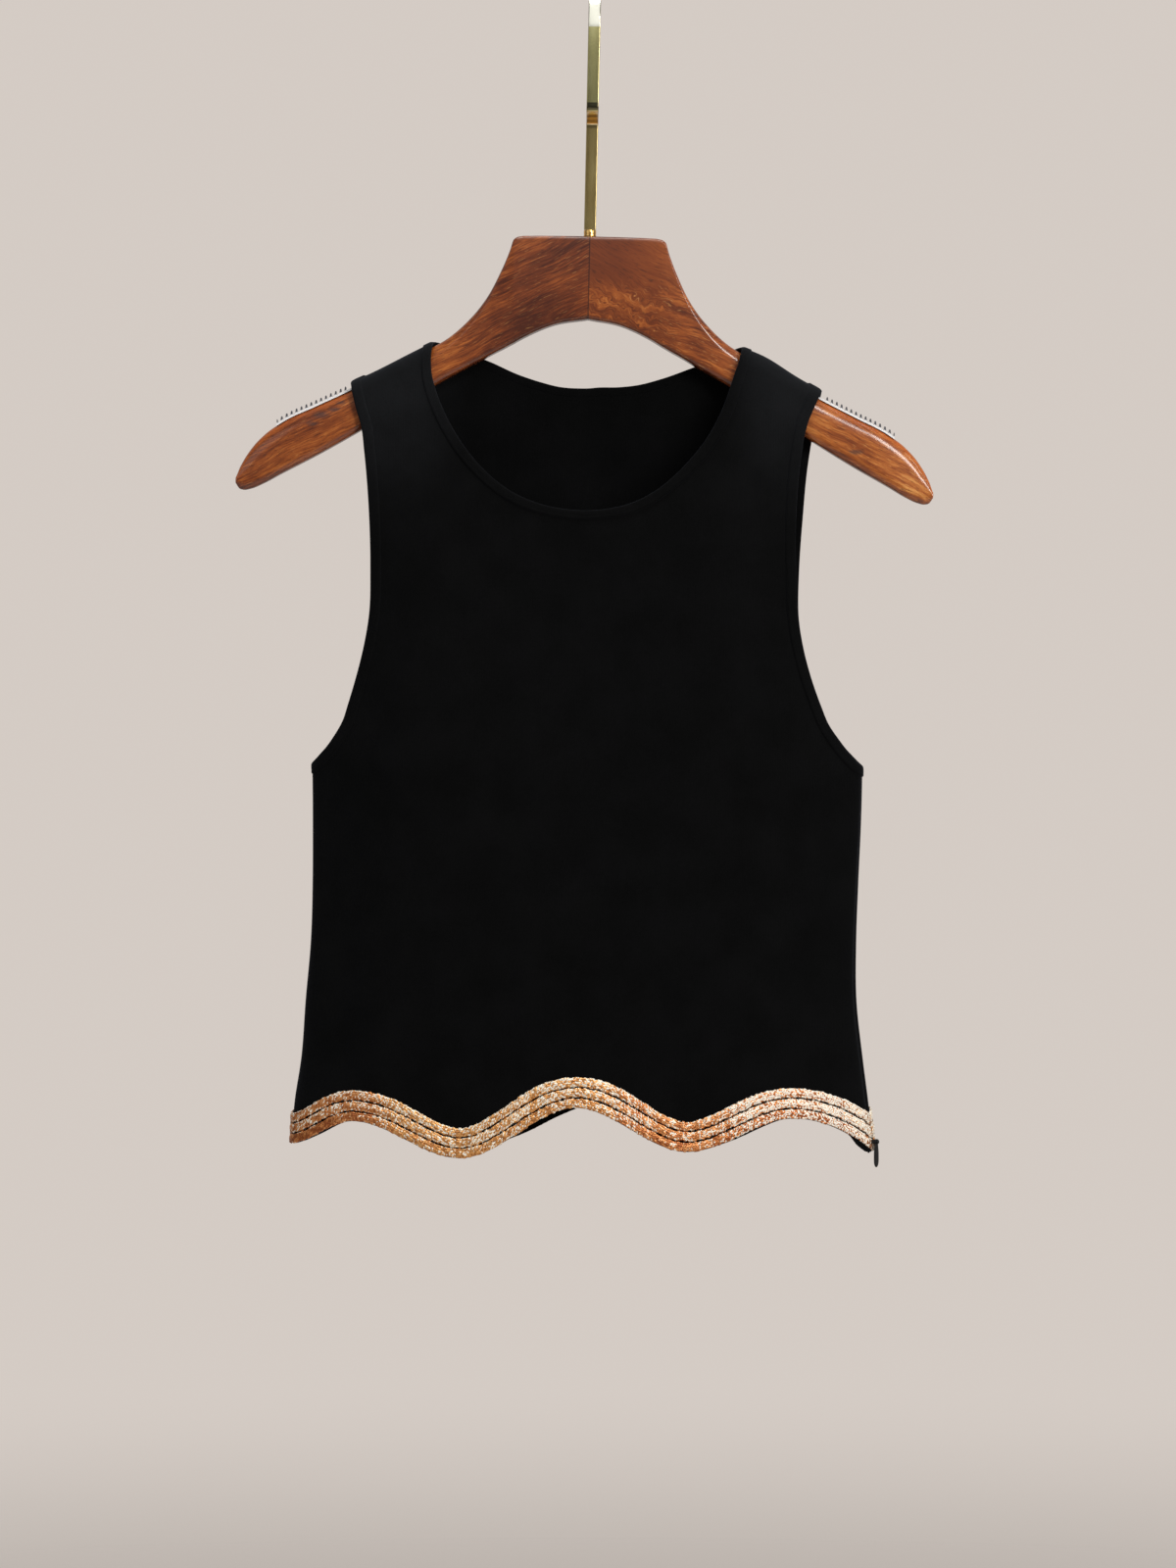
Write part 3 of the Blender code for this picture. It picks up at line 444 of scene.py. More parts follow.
def blackMetalFinish():
    finish = Finish("zipBlack", {"Specular IOR Level": 0.3})
    rubbed = finish.noise(finish.places(), 420.0, 3.0)
    finish.feed("Base Color", finish.mix(rubbed, (0.004, 0.004, 0.0045), (0.010, 0.010, 0.011)))
    finish.feed("Roughness", 0.34 + 0.22 * rubbed)
    finish.bump(rubbed, 0.15, 0.00005)
    return finish.material


woodLook = {
    "grainSlope": math.radians(26.0),      # the grain runs along the arms
    "figures": (                       # of rings, streaks and pores: per m, detail and roughness
        ((14.0, 110.0, 210.0), 4.0, 0.6),
        ((75.0, 700.0, 1050.0), 3.0, 0.6),
        ((190.0, 1200.0, 1900.0), 2.0, 0.5),
    ),
    "left": {"shift": 0.00, "curl": 1.0, "warp": 0.010, "rings": 0.46, "tone": 0.018,
             "arm": 0.098, "flecks": 0.50},
    "right": {"shift": 0.37, "curl": 0.0, "warp": 0.006, "rings": 0.34, "tone": 0.036,
              "arm": 0.074, "flecks": 0.26},
    "tones": ((0.30, (0.066, 0.012, 0.003)), (0.43, (0.155, 0.032, 0.0060)),
              (0.53, (0.275, 0.066, 0.0110)), (0.63, (0.430, 0.128, 0.0230)),
              (0.77, (0.660, 0.290, 0.0800))),
    "curlArea": ((0.062, 0.020), (-0.162, -0.184)),        # m out and up
    "calmArea": ((0.062, 0.030), (-0.182, -0.166)),
    "darkArea": ((0.035, 0.010), (-0.178, -0.160)),
    "armFrom": (0.080, 0.150),
    "lowShadeBand": (0.50, 0.08),           # cm from the arm's lower side, over which painted shade darkens it
    "topLightBand": (0.42, 0.26),           # and from its top, where painted light goes
    "paintedTopLight": (0.46, 0.105, 0.016),
    "fleck": (0.66, 0.32, 0.10),
    "pore": (0.036, 0.010, 0.005),
    "stain": (0.045, 0.026, 0.026),
    "stains": ((-157.6, -246.4, 7.5), (-150.0, -243.6, 5.0), (-146.2, -239.4, 4.5),
               (-162.4, -251.6, 5.5), (150.0, -268.0, 6.0)),       # X, Z and reach in mm
    "joint": (0.020, 0.007, 0.004),
    "jointWidth": (0.0006, 0.0001),
}


def woodFigures(finish, turn, look):
    # noise drawn out along the arm as rings, fine streaks and pores, curled by a second noise
    shifted = finish.stretch(finish.places(), (1.0, 1.0, 1.0), (0.0, turn, 0.0))
    shifted = shifted + finish.vector({0: look["shift"]})
    curl = finish.noise(finish.places(), 150.0, 2.0) * finish.area(*woodLook["curlArea"])
    bend = finish.noise(shifted, 24.0, 2.0) * look["warp"] + curl * (0.013 * look["curl"])
    bent = shifted + finish.vector({2: bend})
    figures = [finish.noise(finish.stretch(bent, scale), 1.0, detail, roughness)
               for scale, detail, roughness in woodLook["figures"]]
    return figures, finish.noise(shifted, 18.0, 3.0)


def woodStains(finish, turn, colour, streaks):
    # dark patches with ragged edges, squashed square to the grain
    east, _, up = finish.parts(finish.places())
    for x, z, reach in woodLook["stains"]:
        away = finish.vector({0: east - x * mm, 2: up - z * mm})
        away = finish.stretch(away, (1.0, 1.0, 2.6), (0.0, turn, 0.0))
        length = finish.node("ShaderNodeVectorMath", {"operation": "LENGTH"}, {0: away}, "Value")
        stain = finish.band(length + (streaks - 0.5) * 0.008, reach * mm, reach * mm * 0.15)
        colour = finish.mix(stain * 0.7, colour, woodLook["stain"])
    return colour


def woodFinish(name, side, look):
    # a tone summed from the figures and the place, coloured; then flecks, pores, stains, the joint
    finish = Finish(name, {"Coat Weight": 0.85, "Coat Roughness": 0.16, "Coat IOR": 1.6,
                           "Specular IOR Level": 0.15})
    east, _, up = finish.parts(finish.places())
    turn = -side * woodLook["grainSlope"]
    (rings, streaks, pores), drift = woodFigures(finish, turn, look)
    arm = finish.band(abs(east), *woodLook["armFrom"])
    low = finish.band(finish.stored("fromLow"), *woodLook["lowShadeBand"])
    high = finish.band(finish.stored("fromTop"), *woodLook["topLightBand"])
    calm = finish.area(*woodLook["calmArea"]) * look["curl"]
    tone = rings * look["rings"] + streaks * 0.52 + (drift - 0.5) * 0.40
    # lighter along the arms: partly lighter wood, partly painted light, more on +X, the side that
    # faces the lamps
    tone = tone + look["tone"] + arm * look["arm"]
    tone = tone + finish.area(*woodLook["curlArea"]) * (0.06 * look["curl"])
    tone = tone + (0.455 - tone) * calm * 0.75
    # darker near the joint's top, and painted shade along the lower edge
    tone = tone - finish.area(*woodLook["darkArea"]) * 0.06 - low * 0.11
    colour = finish.ramp(tone, *woodLook["tones"])
    # painted light on the arms' upper round, which faces the lamps above
    colour = finish.mix(high * arm * 0.55, colour, woodLook["paintedTopLight"])
    flecks = finish.band(pores, 0.61, 0.73) * (1 - calm) * look["flecks"]
    colour = finish.mix(flecks, colour, woodLook["fleck"])
    colour = finish.mix(finish.band(pores, 0.42, 0.30) * 0.60, colour, woodLook["pore"])
    colour = woodStains(finish, turn, colour, streaks)
    joint = finish.band(abs(east - up * math.tan(lean)), *woodLook["jointWidth"])
    finish.feed("Base Color", finish.mix(joint * 0.75, colour, woodLook["joint"]))
    finish.feed("Roughness", 0.40 + 0.2 * streaks)
    finish.bump(streaks * 0.4 + pores * 0.6, 0.02, 0.0002)
    return finish.material


brassLook = {
    "low": ((0.68, 0.515, 0.205), (0.73, 0.580, 0.250)),   # below the joggle
    "high": ((0.70, 0.65, 0.30), (0.76, 0.72, 0.36)),
    "joggle": (-0.078, -0.074),        # m
    "blur": 0.15,                      # mm, at the reflections' ends
    # painted reflections on the edges: dark on the strip's narrow sides, warm over the whole collar
    "edge": (0.36, 0.29, 0.16),
    "paintedWarmReflection": (0.95, 0.56, 0.17),
    "heights": (                       # painted reflections: low and high in mm, share and tone, from the bow down
        (-27.0, 9.0, 1.00, (0.97, 0.96, 0.84)),
        (-74.6, -70.2, 0.85, (0.060, 0.055, 0.045)),
        (-78.8, -74.9, 0.90, (0.90, 0.50, 0.13)),
        (-76.1, -75.0, 0.85, (1.00, 0.86, 0.55)),
        (-76.8, -76.3, 0.80, (0.20, 0.10, 0.03)),
        (-77.7, -77.4, 0.70, (0.34, 0.16, 0.04)),
        (-78.9, -78.4, 0.90, (1.00, 0.90, 0.62)),
        (-80.8, -79.2, 0.45, (0.10, 0.085, 0.06)),
    ),
}


def brassFinish(name, edgeReflection):
    # polished brass, warmer below the joggle and greener above, with painted reflections banded by
    # height
    finish = Finish(name, {"Metallic": 1.0})
    places = finish.places()
    up = finish.parts(places)[2]
    smear = finish.noise(finish.stretch(places, (1.0, 1.0, 0.25)), 160.0, 3.0)
    patch = finish.band(smear, 0.35, 0.7)
    shades = [finish.mix(patch, *brassLook[part]) for part in ("low", "high")]
    colour = finish.mix(finish.band(up, *brassLook["joggle"]), *shades)
    blur = brassLook["blur"]
    # painted reflections: pale over the bow, dark and gold bands at the joggle
    for low, high, share, tone in brassLook["heights"]:
        inside = finish.band(up, (low - blur) * mm, (low + blur) * mm)
        inside = inside * finish.band(up, (high + blur) * mm, (high - blur) * mm)
        colour = finish.mix(inside * share, colour, tone)
    # painted reflection at the edges
    colour = finish.mix(finish.band(finish.stored("edge"), 0.2, 0.9) * 0.7, colour, edgeReflection)
    finish.feed("Base Color", colour)
    finish.feed("Roughness", 0.14 + 0.10 * smear)
    finish.bump(smear, 0.02, 0.0001)
    return finish.material


def gripFinish():
    # clear soft plastic: milky where it is thick, dark at the teeth's thin tips
    finish = Finish("clearGrip", {"Roughness": 0.25, "Specular IOR Level": 0.6})
    tip = finish.band(finish.stored("rise"), 0.31, 0.54)
    haze = finish.noise(finish.places(), 300.0, 3.0)
    milk = finish.mix(haze, (0.86, 0.87, 0.90), (0.97, 0.97, 0.98))
    finish.feed("Base Color", finish.mix(tip, milk, (0.06, 0.062, 0.08)))
    finish.feed("Alpha", 0.92 - tip * 0.10)
    return finish.material


def threadFinish():
    # twisted: a wave along it, 0.4 mm long
    finish = Finish("blackThread", {"Roughness": 0.7, "Sheen Weight": 0.2})
    twist = finish.wave(finish.parts(finish.across())[0] * (2 * math.pi / 0.0004))
    over = finish.band(twist, -1.0, 1.0)
    finish.feed("Base Color", finish.mix(over, (0.006, 0.006, 0.007), (0.020, 0.020, 0.022)))
    return finish.material


finishes = {
    "panel": knitFinish("blackKnit"),
    "band": knitFinish("blackRib", True),
    "braid": braidFinish(),
    "tape": tapeFinish(),
    "metal": blackMetalFinish(),
    "woodLeft": woodFinish("lacqueredWoodLeft", 1.0, woodLook["left"]),
    "woodRight": woodFinish("lacqueredWoodRight", -1.0, woodLook["right"]),
    "strip": brassFinish("brassStrip", brassLook["edge"]),
    "collar": brassFinish("brassCollar", brassLook["paintedWarmReflection"]),
    "grip": gripFinish(),
    "thread": threadFinish(),
}
print("materials made")

hung = {                               # how the cloth hangs; its front and back meet over the arms
    "leanEnds": (-270.0, -440.0),      # it leans with the hanger above these heights, not below
    "shiftHeight": -234.0,             # below it the cloth hangs straight down
    "slideStart": 30.0,                # below the shoulder seam the cloth has slid a little round
    "neckHalfWidth": 89.3,
    "shoulderTop": -206.0,
    "shoulderFall": 0.499,
    "overArm": 9.6,                    # outer radius of the round over the arm
    "drape": 110.0,                    # below the round, over which the cloth spreads
    "sections": Rows("height minusX plusX depth frontSlide backSlide",
                     (-675.0, 170.2, 166.2, 29.5, 4.2, 4.2),
                     (-642.0, 168.3, 162.5, 28.5, 4.0, 4.0),
                     (-617.0, 164.5, 159.3, 27.0, 3.8, 3.8),
                     (-583.0, 161.9, 155.7, 25.5, 3.5, 3.5),
                     (-549.0, 158.9, 155.6, 24.5, 3.0, 3.0),
                     (-515.0, 157.9, 156.8, 24.0, 2.3, 2.3),
                     (-482.0, 157.8, 158.4, 23.5, 1.6, 1.6),
                     (-447.0, 158.1, 159.2, 23.0, 0.9, 0.9),
                     (-400.0, 158.2, 158.2, 21.5, 2.2, -0.6),
                     (-345.0, 158.2, 158.2, 20.0, 2.6, -0.2),
                     (-300.0, 158.2, 158.2, 18.0, 2.8, 2.2),
                     (-270.0, 158.2, 158.2, 16.5, 2.8, 2.6),
                     (-206.0, 158.2, 158.2, 14.0, 2.8, 2.6)),
    "underarm": -446.6,
    "armhole": Rows("rise halfWidth plusMore", (0.0, 158.2, 0.0), (7.5, 150.3, 0.5),
                    (16.0, 143.6, 0.9), (24.3, 138.5, 1.0), (32.7, 135.4, 1.1),
                    (49.6, 129.8, 1.3), (66.5, 125.3, 1.6), (83.3, 122.3, 1.75),
                    (110.0, 121.4, 1.7), (142.0, 122.2, 1.0), (176.0, 124.9, 0.9),
                    (190.0, 126.6, 1.4), (205.0, 131.4, 0.7), (214.0, 134.7, 0.0),
                    (219.0, 135.7, 0.0), (223.3, 134.8, 0.0)),
    "plusLower": (1.8, 60.0),          # the +X underarm is lower by this, and less so up to here
    "hem": Rows("place front back tilt", (-1.000, -664.2, -664.2, -74.0),
                (-0.740, -651.6, -651.2, 0.0), (-0.385, -672.0, -670.5, 0.0),
                (-0.010, -643.2, -646.5, 0.0), (0.358, -668.4, -671.0, 0.0),
                (0.716, -650.0, -652.0, 0.0), (1.000, -670.4, -670.4, -140.0)),
    "neckDrop": {front: 101.8, back: 29.2},
    "neckPower": {front: 1.94, back: 1.45},
    "neckRise": Rows("reach front back", (-89.3, 0.0, 0.0), (-75.0, -0.4, 1.3), (-59.0, -1.3, 1.9),
                     (-43.0, -1.7, 0.0), (-29.0, -1.1, -0.95), (-18.6, -0.5, -1.3),
                     (-5.0, 0.0, -0.1), (3.0, 0.0, 0.7), (16.5, -0.5, -0.4), (27.3, -1.0, -0.95),
                     (40.8, -0.9, -0.3), (61.0, 0.5, 1.2), (75.0, 0.4, 0.9), (89.3, 0.0, 0.0)),
    "tail": (0.957, 0.032, 3.4),       # the cloth hangs below the trim here: place, reach, drop
    "backLift": ((-0.89, 0.07, 1.8), (-0.15, 0.10, -1.5)),     # and the back's hem is higher here
    "hemLevel": -660.0,                # a height near the hem, where its girth is read
    "neckSideShare": 0.6875,           # the part of the drop that a strap's side takes
    "neckBand": 5.5,
    "armBand": 6.5,
    # a strap stands off its arm or lies closer: where, reach, rise and fade
    "puffs": ((103.0, 14.0, 2.3, 26.0), (-124.0, 20.0, -1.1, 26.0)),
}

folds = {                              # soft troughs (-) and ridges (+): place is a share round
    "columns": "side topPlace topHeight lowPlace lowHeight width depth",
    "rows": (
        (front, -0.90, -452.0, -0.86, -560.0, 16.0, -2.6),
        (front, -0.84, -560.0, -0.80, -632.0, 16.0, -2.4),
        (front, 0.80, -470.0, 0.74, -590.0, 20.0, -3.0),
        (front, 0.26, -575.0, 0.20, -640.0, 18.0, -2.4),
        (front, -0.52, -300.0, -0.62, -470.0, 24.0, 2.4),
        (front, 0.52, -300.0, 0.60, -460.0, 24.0, 2.2),
        (front, 0.00, -330.0, -0.05, -520.0, 34.0, -2.4),
        (back, 0.88, -455.0, 0.82, -580.0, 17.0, -2.6),
        (back, -0.84, -470.0, -0.78, -600.0, 20.0, -2.8),
        (back, 0.50, -290.0, 0.56, -480.0, 24.0, 2.4),
        (back, -0.50, -290.0, -0.58, -480.0, 24.0, 2.2),
        (back, 0.04, -300.0, 0.00, -500.0, 34.0, -2.4),
        (back, -0.24, -570.0, -0.20, -640.0, 18.0, -2.2),
        # slighter creases, where the cloth gathers under the arms and above the hem
        (front, -0.80, -438.0, -0.66, -476.0, 6.0, -0.9),
        (front, 0.82, -436.0, 0.68, -482.0, 7.0, -1.0),
        (front, -0.73, -560.0, -0.70, -640.0, 8.0, 0.8),
        (front, 0.66, -520.0, 0.63, -600.0, 9.0, 0.8),
        (front, -0.40, -600.0, -0.42, -648.0, 9.0, -0.7),
        (front, 0.44, -590.0, 0.42, -650.0, 10.0, 0.7),
        (front, -0.10, -590.0, -0.08, -630.0, 10.0, 0.7),
        (back, -0.80, -438.0, -0.68, -480.0, 6.0, -0.9),
        (back, 0.80, -436.0, 0.66, -478.0, 7.0, -0.9),
        (back, 0.40, -590.0, 0.44, -648.0, 9.0, 0.7),
        (back, -0.46, -580.0, -0.43, -650.0, 10.0, -0.7),
    ),
    "fade": 40.0,                      # length over which a fold dies away at its ends
    "edge": 0.10,                      # share over which it dies away at a side seam
    "ripple": 0.22,                    # a slight unevenness all over
}

gaussAt, gaussWeight = np.polynomial.legendre.leggauss(16)


def arcTo(angle, width, depth):
    # length round an ellipse from its front to an angle, by 16-point Gauss quadrature
    angle, width, depth = np.broadcast_arrays(angle, width, depth)
    part = angle[..., None] * (gaussAt + 1) / 2
    pace = np.hypot(width[..., None] * np.cos(part), depth[..., None] * np.sin(part))
    return angle * (pace @ gaussWeight) / 2


def angleAt(arc, width, depth):
    # the angle whose arc length is given, by Newton steps
    angle = arc / arcTo(math.pi / 2, width, depth) * math.pi / 2
    for _ in range(10):
        pace = np.hypot(width * np.cos(angle), depth * np.sin(angle))
        angle = angle - np.clip((arcTo(angle, width, depth) - arc) / pace, -0.2, 0.2)
    return angle


def halfWidth(side, height):
    minus = hung["sections"].read("minusX", height)
    return np.where(side < 0, minus, hung["sections"].read("plusX", height))


def halfGirth(side, height):
    depth = hung["sections"].read("depth", height)
    return arcTo(math.pi / 2, halfWidth(side, height), depth)


def arcAtWidth(reach, height):
    width = halfWidth(reach, height)
    angle = np.arcsin(np.clip(reach / width, -1.0, 1.0))
    return arcTo(angle, width, hung["sections"].read("depth", height))


def shoulderHeight(reach):
    return hung["shoulderTop"] - hung["shoulderFall"] * (np.abs(reach) - hung["neckHalfWidth"])


def seamHeight(reach):
    # the shoulder seam in the unfolded cloth: the way round the arm is longer than its rise
    return shoulderHeight(reach) + hung["overArm"] * (math.pi / 2 - 1)


def foldOffset(arc, height, face):
    # a bell across each fold's line, faded at its ends, and three crossing waves
    girth = halfGirth(arc, height)
    place = arc / girth
    offset = np.sin(arc / 13.0 + height / 41.0) * np.sin(height / 17.0 + face)
    offset = folds["ripple"] * (offset + 0.6 * np.sin(arc / 7.1 - height / 23.0 + 2 * face))
    for row in folds["rows"]:
        fold = dict(zip(folds["columns"].split(), row))
        if fold["side"] != face:
            continue
        along = (fold["topHeight"] - height) / (fold["topHeight"] - fold["lowHeight"])
        line = fold["topPlace"] + (fold["lowPlace"] - fold["topPlace"]) * along
        ends = smoothStep((fold["topHeight"] - height) / folds["fade"] + 0.5)
        ends = ends * smoothStep((height - fold["lowHeight"]) / folds["fade"] + 0.5)
        bell = np.exp(-((place - line) * girth / fold["width"]) ** 2)
        offset = offset + fold["depth"] * ends * bell
    return offset * smoothStep((1 - np.abs(place)) / folds["edge"])


def hang(arc, height, face):
    # an ellipse below the arms; above, a round over the arm that eases into the ellipse
    depth = hung["sections"].read("depth", height)
    width = halfWidth(arc, height)
    slide = hung["sections"].read(faceNames[face] + "Slide", height)
    slide = slide * smoothStep((seamHeight(arc) - height) / hung["slideStart"])
    angle = angleAt(arc + face * slide, width, depth)
    x = width * np.sin(angle)
    over, quarter = hung["overArm"], hung["overArm"] * math.pi / 2
    below = seamHeight(x) - height
    turn = np.minimum(below, quarter) / over
    eased = smoothStep((below - quarter) / hung["drape"])
    free = over + (depth * np.cos(angle) - over + foldOffset(arc, height, face)) * eased
    out = np.where(below < quarter, over * np.sin(turn), free)
    z = np.where(below < quarter, shoulderHeight(x) - over * (1 - np.cos(turn)), height)
    for place, reach, rise, fade in hung["puffs"]:
        z = z + rise * np.exp(-((x - place) / reach) ** 2) * (1 - smoothStep(below / fade))
    high, low = hung["leanEnds"]
    z = z - x * math.tan(lean) * smoothStep((height - low) / (high - low))
    x = x + math.tan(lean) * np.maximum(z, hung["shiftHeight"])
    return stacked(x, face * out, z)


def clothNormals(arc, height, face, step=0.4):
    along = hang(arc + step, height, face) - hang(arc - step, height, face)
    up = hang(arc, height + step, face) - hang(arc, height - step, face)
    return unit(np.cross(along, up) * -face)


def clothPoints(arc, height, face, out=0.0):
    arc, height, out = np.broadcast_arrays(np.asarray(arc, float), height, out)
    return hang(arc, height, face) + clothNormals(arc, height, face) * out[..., None]


class ArmholeLine:
    # the armhole's edge in the unfolded cloth, from the underarm to the shoulder seam

    def __init__(self, side):
        self.side = side
        rows = hung["armhole"]
        lower, fade = hung["plusLower"]
        height = hung["underarm"] + rows.keys
        reach = rows.columns["halfWidth"] / rows.columns["halfWidth"][0] * halfWidth(side, height)
        if side > 0:
            reach = reach + rows.columns["plusMore"]
            height = height - lower * (1 - smoothStep(rows.keys / fade))
        height = np.append(height[:-1], seamHeight(reach[-1]))
        arc = np.abs(arcAtWidth(side * reach, height))
        mirrored = slice(3, 0, -1)     # three rows mirrored at the underarm carry the curve over it
        arcs = np.concatenate((2 * arc[0] - arc[mirrored], arc))
        self.points = stacked(arcs, np.concatenate((height[mirrored], height)))
        keys = lengthsAlong(self.points)
        self.keys = keys - keys[3]
        self.slopes = np.gradient(self.points, self.keys, axis=0)
        self.length = self.keys[-1]

    def at(self, length):
        return stacked(*(cubicThrough(self.keys, points, slopes, length)
                         for points, slopes in zip(self.points.T, self.slopes.T)))

    def edge(self, length, inset):
        # moved into the cloth, and near the shoulder along its seam
        tangent = unit(self.at(np.minimum(length + 0.5, self.length)) - self.at(length - 0.5))
        into = stacked(-tangent[..., 1], tangent[..., 0])
        seam = np.array((-1.0, hung["shoulderFall"]))
        skew = (tangent @ seam) / (into @ seam) * smoothStep((length - self.length) / 30.0 + 1.0)
        points = self.at(length) + (into + tangent * skew[..., None]) * np.asarray(inset)[..., None]
        return points * (self.side, 1.0)


armholes = {side: ArmholeLine(side) for side in sides.values()}


def neckEdge(face, angle, grow):
    # a superellipse from one shoulder seam (0) to the other (a half turn), grown into the cloth
    power = 2.0 / hung["neckPower"][face]
    across, down = np.cos(angle), np.abs(np.sin(angle))
    reach = (hung["neckHalfWidth"] + grow) * softened(across, power)
    drop = (hung["neckDrop"][face] + grow) * down ** power
    drop = drop + hung["shoulderFall"] * grow * across ** 2
    rise = hung["neckRise"].read(faceNames[face], reach)
    height = seamHeight(hung["neckHalfWidth"]) - drop + rise
    return stacked(arcAtWidth(reach, height), height)


def hemHeight(place, face, above=0.0):
    # the wavy hem, or the line parallel to it a given distance above
    def line(at):
        return hung["hem"].read(faceNames[face], at)

    step = 0.004
    slope = line(place + step) - line(place - step)
    slope = slope / (2 * step * halfGirth(place, hung["hemLevel"]))
    height = line(place) + above * np.sqrt(1 + slope ** 2)
    for middle, reach, rise in hung["backLift"]:
        height = height + rise * np.exp(-((place - middle) / reach) ** 4) * (face == back)
    return height


panel = {
    "wall": 1.5,
    "gap": -0.5,                       # tucked under the bands and into the seams
    "seamDip": 0.55,                   # the cloth rolls in at a seam
    "seamReach": 1.0,
    "sideTop": 8.0,                    # above the underarm, up to where a side seam draws it in
    "halfColumns": 58, "sideColumns": 11, "strapColumns": 22,
    "bodyRows": 72, "chestRows": 36, "strapRows": 44,
    "crowding": 0.75,                  # draws the columns towards the side creases
    "strapRise": 140.0,                # above the underarm, where the straps begin
}


def columnPlaces():
    even = np.linspace(-1, 1, 2 * panel["halfColumns"] + 1)
    return (1 - panel["crowding"]) * even + panel["crowding"] * np.sin(even * math.pi / 2)


def strapShares():
    # how far below the seam each strap row lies; they draw together over the arm
    return (1 - np.linspace(0, 1, panel["strapRows"] + 1)) ** 1.6


def armholeLengths(side):
    line = armholes[side]
    dense = np.linspace(0.0, 60.0, 481)
    inset = np.abs(line.edge(dense, np.full(481, hung["armBand"] + panel["gap"]))[:, 0])
    places = columnPlaces()[::-1][:panel["sideColumns"] + 1]
    low = np.interp(-halfGirth(side, hung["underarm"]) * places, -inset, dense)
    low[0] = 0.0
    strapFoot = np.interp(hung["underarm"] + panel["strapRise"], line.points[:, 1], line.keys)
    share = np.linspace(0, 1, panel["chestRows"] + 1)[1:] ** 1.25
    chest = low[-1] + (strapFoot - low[-1]) * share
    return low, chest, line.length - (line.length - strapFoot) * strapShares()[1:]


def coons(bottom, top, left, right):
    # the two ruled surfaces between four edges, less the one through their corners
    u = np.linspace(0, 1, len(bottom))[None, :, None]
    v = np.linspace(0, 1, len(left))[:, None, None]
    ruled = (1 - v) * bottom[None] + v * top[None] + (1 - u) * left[:, None] + u * right[:, None]
    corners = (1 - v) * ((1 - u) * bottom[0] + u * bottom[-1])
    return ruled - corners - v * ((1 - u) * top[0] + u * top[-1])


def armholeEdge(side):
    # the points along an armhole that the body, the chest and a strap share
    lengths = np.concatenate(armholeLengths(side))
    edge = armholes[side].edge(lengths, np.full(len(lengths), hung["armBand"] + panel["gap"]))
    edge[0, 0] = side * (halfGirth(side, edge[0, 1]) - panel["gap"] / 2)
    edge[-1, 1] -= panel["gap"] / 2
    return edge


def bodyGrid(face, edges):
    # from the hem up to the underarms, where its upper corners follow the armholes
    places, first = columnPlaces(), panel["sideColumns"]
    last = len(places) - first - 1
    topHeight = np.full(len(places), edges[1.0][first, 1])
    topHeight[:first + 1] = edges[-1.0][:first + 1, 1]
    topHeight[last:] = edges[1.0][:first + 1, 1][::-1]
    share = np.linspace(0, 1, panel["bodyRows"] + 1)[:, None]
    place, reach, drop = hung["tail"]
    tail = drop * np.exp(-((places - place) / reach) ** 4) * (face == front)
    rows = (hemHeight(places, face) - tail) * (1 - share) + topHeight * share
    body = stacked(places * (halfGirth(places, rows) - panel["gap"] / 2), rows)
    body[-1, :first + 1] = edges[-1.0][:first + 1]
    body[-1, last:] = edges[1.0][:first + 1][::-1]
    return body


def panelGrids(face):
    # the body, the chest and two straps, which share their edges' points
    edges = {side: armholeEdge(side) for side in (-1.0, 1.0)}
    body, first = bodyGrid(face, edges), panel["sideColumns"]
    last, chestEnd = body.shape[1] - first - 1, first + panel["chestRows"]
    grow = hung["neckBand"] + panel["gap"]
    sideAngles = np.arcsin((hung["neckSideShare"] * strapShares()) ** (hung["neckPower"][face] / 2))
    steps = 2 * (panel["halfColumns"] - first - panel["strapColumns"])
    bottomAngles = np.linspace(math.pi - sideAngles[0], sideAngles[0], steps + 1)
    neckSides = {1.0: neckEdge(face, sideAngles, grow)}
    neckSides[-1.0] = neckEdge(face, math.pi - sideAngles, grow)
    share = np.linspace(0, 1, panel["strapColumns"] + 1)[:, None]
    feet, tops = {}, {}
    for side in (-1.0, 1.0):
        neckSides[side][-1, 1] -= panel["gap"] / 2
        feet[side] = edges[side][chestEnd] * (1 - share) + neckSides[side][0] * share
        tops[side] = edges[side][-1] * (1 - share) + neckSides[side][-1] * share
    neckBottom = neckEdge(face, bottomAngles, grow)[1:-1]
    chestTop = np.concatenate((feet[-1.0], neckBottom, feet[1.0][::-1]))
    chest = coons(body[-1, first:last + 1], chestTop, edges[-1.0][first:chestEnd + 1],
                  edges[1.0][first:chestEnd + 1])
    straps = [coons(feet[side], tops[side], edges[side][chestEnd:], neckSides[side])
              for side in (-1.0, 1.0)]
    return [body, chest, straps[0], straps[1][:, ::-1]]


